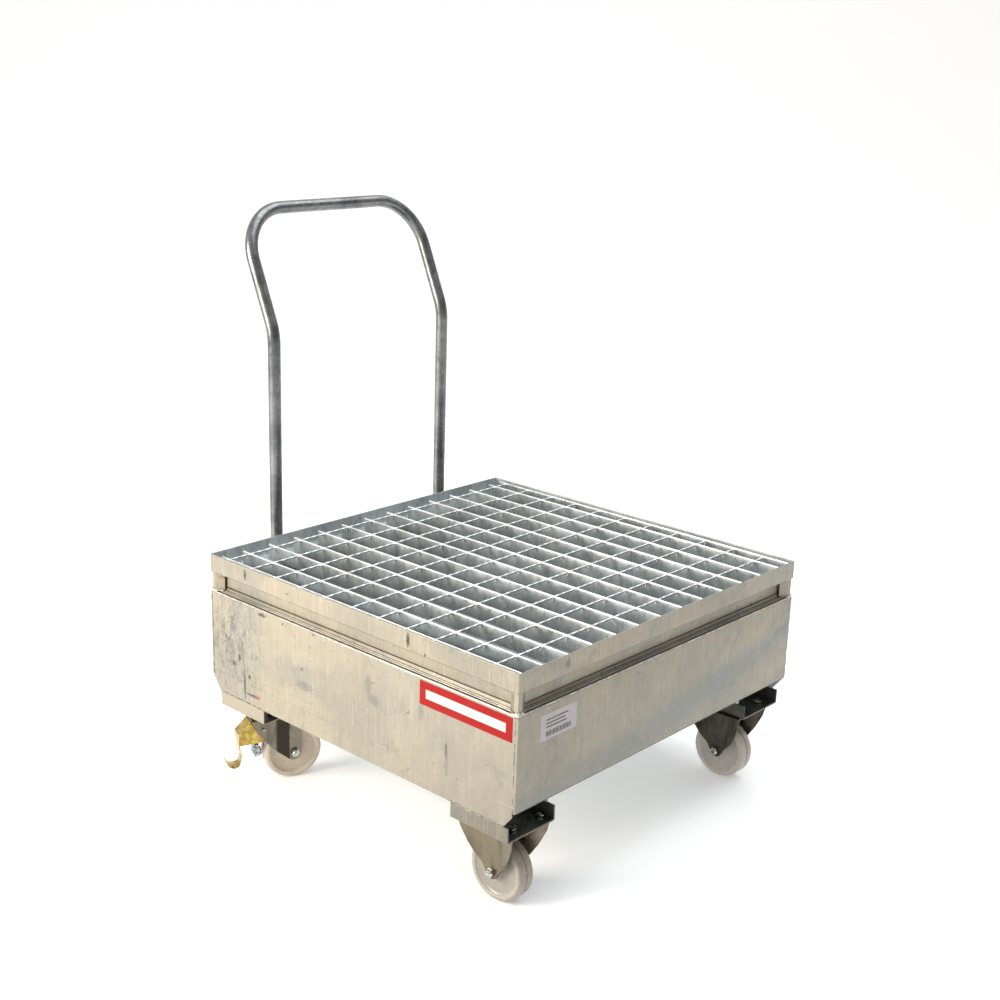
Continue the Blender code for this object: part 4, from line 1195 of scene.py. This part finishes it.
def make_end_label():
    """A plain pale label with three grey rules and a row of stripes. It says nothing."""
    corner = Vector((TRAY_HIGH.x, -HALF_Y + 0.0600, LEDGE_Z - 0.0680))
    face_axes = (corner, Vector((0, 1, 0)), UP, Vector((1, 0, 0)))
    wide, high = END_LABEL_SIZE
    bm = bmesh.new()
    add_tile(bm, face_axes, (0.0, wide), (0.0, high), PAPER_LIFT)
    pale = sticker_material("label_paper", (0.44, 0.41, 0.42), (0.37, 0.345, 0.35))
    piece("end_label", bm, pale, "chassis")
    bm = bmesh.new()
    for v, length in ((0.0370, 0.060), (0.0300, 0.052), (0.0230, 0.056)):
        add_tile(bm, face_axes, (PRINT_LEFT, PRINT_LEFT + length), (v, v + RULE_HIGH), PRINT_LIFT)
    for n in range(STRIPE_COUNT):
        start = PRINT_LEFT + STRIPE_PITCH * n
        width = 0.0014 if n % 3 else 0.0022
        add_tile(bm, face_axes, (start, start + width), (0.0060, 0.0160), PRINT_LIFT)
    ink = sticker_material("label_ink", (0.07, 0.065, 0.065), (0.16, 0.15, 0.15))
    piece("end_label_rules", bm, ink, "chassis")


# ---------------------------------------------------------------- stage

BACKDROP_WAY = (-0.67, 0.74, 0.0)
BACKDROP_AWAY = 3.6
BACKDROP_RADIUS = 4.5
BACKDROP_TOP = 9.0
FLOOR_NEAR = -16.0
FLOOR_HALF_WIDE = 16.0
WORLD_DARK_SIDE = (0.98, 0.10, -0.15)
WORLD_BRIGHT = 0.92
WORLD_DIM = 0.32
LIGHT_AIM = (MIDDLE_X, 0.0, 0.45)
LIGHTS = (
    ("key", (-1.6, -3.8, 1.9), 2.2, 225.0, (1.0, 0.92, 0.78)),
    ("top", (0.4, 0.8, 3.8), 3.0, 90.0, (0.92, 0.97, 1.0)),
)
CAMERA_PLACE = (2.04602, -2.21291, 1.52013)
CAMERA_AZIMUTH = 0.734765
CAMERA_ELEVATION = 0.291485
CAMERA_ROLL = 0.031298
CAMERA_LENS = 53.52
CAMERA_SENSOR = 36.0


def make_world():
    """White light from all round, dimmer from the front."""
    world = bpy.data.worlds.new("studio")
    bpy.context.scene.world = world
    world.use_nodes = True
    nodes = world.node_tree.nodes
    link = world.node_tree.links.new
    way = nodes.new("ShaderNodeTexCoord")
    dot = nodes.new("ShaderNodeVectorMath")
    dot.operation = "DOT_PRODUCT"
    dot.inputs[1].default_value = WORLD_DARK_SIDE
    fade = nodes.new("ShaderNodeMapRange")
    fade.interpolation_type = "SMOOTHSTEP"
    span = {"From Min": -0.25, "From Max": 0.80, "To Min": WORLD_BRIGHT, "To Max": WORLD_DIM}
    for key, value in span.items():
        fade.inputs[key].default_value = value
    link(way.outputs["Generated"], dot.inputs[0])
    link(dot.outputs["Value"], fade.inputs["Value"])
    link(fade.outputs["Result"], nodes["Background"].inputs["Strength"])
    nodes["Background"].inputs["Color"].default_value = (1.0, 1.0, 1.0, 1.0)


def floor_paint():
    """Matt white, with a little light of its own."""
    paint = bpy.data.materials.new("floor_paint")
    paint.use_nodes = True
    inputs = paint.node_tree.nodes["Principled BSDF"].inputs
    inputs["Base Color"].default_value = (0.94, 0.94, 0.94, 1.0)
    inputs["Roughness"].default_value = 0.8
    inputs["Specular IOR Level"].default_value = 0.1
    inputs["Emission Color"].default_value = (1.0, 1.0, 1.0, 1.0)
    inputs["Emission Strength"].default_value = 0.20
    return paint


def make_floor():
    """A pale floor that curves up into a backdrop on one side."""
    profile = [(FLOOR_NEAR, 0.0), (0.0, 0.0)] + [(BACKDROP_AWAY * n / 6, 0.0) for n in range(1, 7)]
    for n in range(1, 25):
        angle = math.radians(90.0 * n / 24)
        rise = BACKDROP_RADIUS * (1 - math.cos(angle))
        profile.append((BACKDROP_AWAY + BACKDROP_RADIUS * math.sin(angle), rise))
    profile.append((BACKDROP_AWAY + BACKDROP_RADIUS, BACKDROP_TOP))
    away = Vector(BACKDROP_WAY).normalized()
    along = UP.cross(away)
    bm = bmesh.new()
    rows = []
    for side in (-FLOOR_HALF_WIDE, FLOOR_HALF_WIDE):
        rows.append([bm.verts.new(away * far + UP * high + along * side) for far, high in profile])
    for n in range(len(profile) - 1):
        bm.faces.new((rows[0][n], rows[1][n], rows[1][n + 1], rows[0][n + 1])).smooth = True
    bmesh.ops.recalc_face_normals(bm, faces=bm.faces)
    mesh = bpy.data.meshes.new("floor")
    bm.to_mesh(mesh)
    bm.free()
    mesh.materials.append(floor_paint())
    floor = bpy.data.objects.new("floor", mesh)
    add_object(floor)


def make_lights():
    for name, place, size, power, colour in LIGHTS:
        light = bpy.data.lights.new(name, "AREA")
        light.shape = "SQUARE"
        light.size = size
        light.energy = power
        light.color = colour
        obj = bpy.data.objects.new(name, light)
        obj.location = place
        obj.rotation_euler = (Vector(LIGHT_AIM) - Vector(place)).to_track_quat("-Z", "Y").to_euler()
        add_object(obj)


def make_camera():
    """A camera turned by an azimuth, an elevation and a slight roll."""
    flat = math.cos(CAMERA_ELEVATION)
    right = Vector((math.cos(CAMERA_AZIMUTH), math.sin(CAMERA_AZIMUTH), 0.0))
    back_x = math.sin(CAMERA_AZIMUTH) * flat
    back_y = -math.cos(CAMERA_AZIMUTH) * flat
    back = Vector((back_x, back_y, math.sin(CAMERA_ELEVATION)))
    up = back.cross(right)
    turned_right = math.cos(CAMERA_ROLL) * right + math.sin(CAMERA_ROLL) * up
    turned_up = math.cos(CAMERA_ROLL) * up - math.sin(CAMERA_ROLL) * right
    camera = bpy.data.cameras.new("camera")
    camera.sensor_width = CAMERA_SENSOR
    camera.lens = CAMERA_LENS
    obj = bpy.data.objects.new("camera", camera)
    matrix = Matrix((turned_right, turned_up, back)).transposed().to_4x4()
    obj.matrix_world = Matrix.Translation(CAMERA_PLACE) @ matrix
    add_object(obj)
    bpy.context.scene.camera = obj


# ---------------------------------------------------------------- assembly

CHANNEL = channel_material()
GRATING = grating_material()
# Near white and half matt: the drops stand for glints, a painted highlight.
GLINTING_DROPS = bright_material("zinc_drops", (0.97, 0.98, 0.98), 0.2, 0.75)
WELD = weld_material()
SEAM = galvanised("seam_zinc", (0.40, 0.365, 0.30), (0.26, 0.24, 0.20), 0.5)
SHEET_WELD = galvanised_finish(*SEAM)
# Painted highlights: the ledge folds and the outer lip are paler than the tray sheet they belong to.
LEDGE = galvanised("ledge_zinc", (0.62, 0.59, 0.51), (0.40, 0.38, 0.33), 0.4)
LEDGE_HIGHLIGHT_METAL = galvanised_finish(*LEDGE, bump=0.3)
EDGE_HIGHLIGHT_METAL = bright_material("edge_zinc", (0.84, 0.82, 0.74), 0.45, 0.6)
HANDLE = handle_material()
# Both front forks are one zinc: the far one is darkened, a painted reflection of dark surroundings.
FRONT_FORK = {
    "right": plated("near_fork_zinc", (0.208, 0.178, 0.127), (0.127, 0.106, 0.075)),
    "left": plated("far_fork_zinc_painted_dark", (0.085, 0.074, 0.058), (0.022, 0.020, 0.017)),
}
# The rear fork legs carry a band of painted shade.
REAR_FORK = plated("rear_fork_zinc", (0.23, 0.205, 0.16), (0.12, 0.105, 0.080), shade_band=(0.3460, 0.3720))
RACE = plated("race_zinc", (0.34, 0.33, 0.30), (0.18, 0.17, 0.15))
BRIGHT = bright_material("bright_zinc", (0.62, 0.63, 0.62))
SHOE = bright_material("shoe_zinc", (0.50, 0.52, 0.54), 1.0, 0.15)
# The bright zinc, darkened as painted shade, for the nuts inside the channels and the far castor's axle bolt.
SHADED_ZINC = bright_material("shaded_zinc", (0.22, 0.22, 0.20))
CHROMATE = chromate_material()
# One nylon in three tones: the near front wheel's is darkened, painted shade against the strong key light on it;
# the far wheel's is lighter, and the rear wheels' are lighter and warmer.
NEAR_NYLON = ((0.330, 0.305, 0.272), (0.285, 0.260, 0.226), (0.245, 0.228, 0.205))
FAR_NYLON = ((0.520, 0.480, 0.440), (0.455, 0.418, 0.372), (0.400, 0.370, 0.335))
REAR_NYLON = ((0.60, 0.52, 0.42), (0.54, 0.46, 0.36), (0.60, 0.50, 0.38))
NYLON = {
    "front_right": nylon_material("near_nylon", *NEAR_NYLON),
    "front_left": nylon_material("far_nylon", *FAR_NYLON),
    "rear_right": nylon_material("rear_nylon", *REAR_NYLON),
}
NYLON["rear_left"] = NYLON["rear_right"]

make_world()
make_floor()
make_lights()
make_camera()
make_tray()
make_ledge_folds()
make_corner_welds()
make_skirt_welds()
make_corner_seams()
make_grating()
make_handle()
make_handle_welds()
make_side_sticker()
make_end_label()
for castor_side, _ in SIDES:
    make_front_castor(castor_side)
    make_rear_castor(castor_side)
bpy.context.scene.view_settings.view_transform = "Standard"
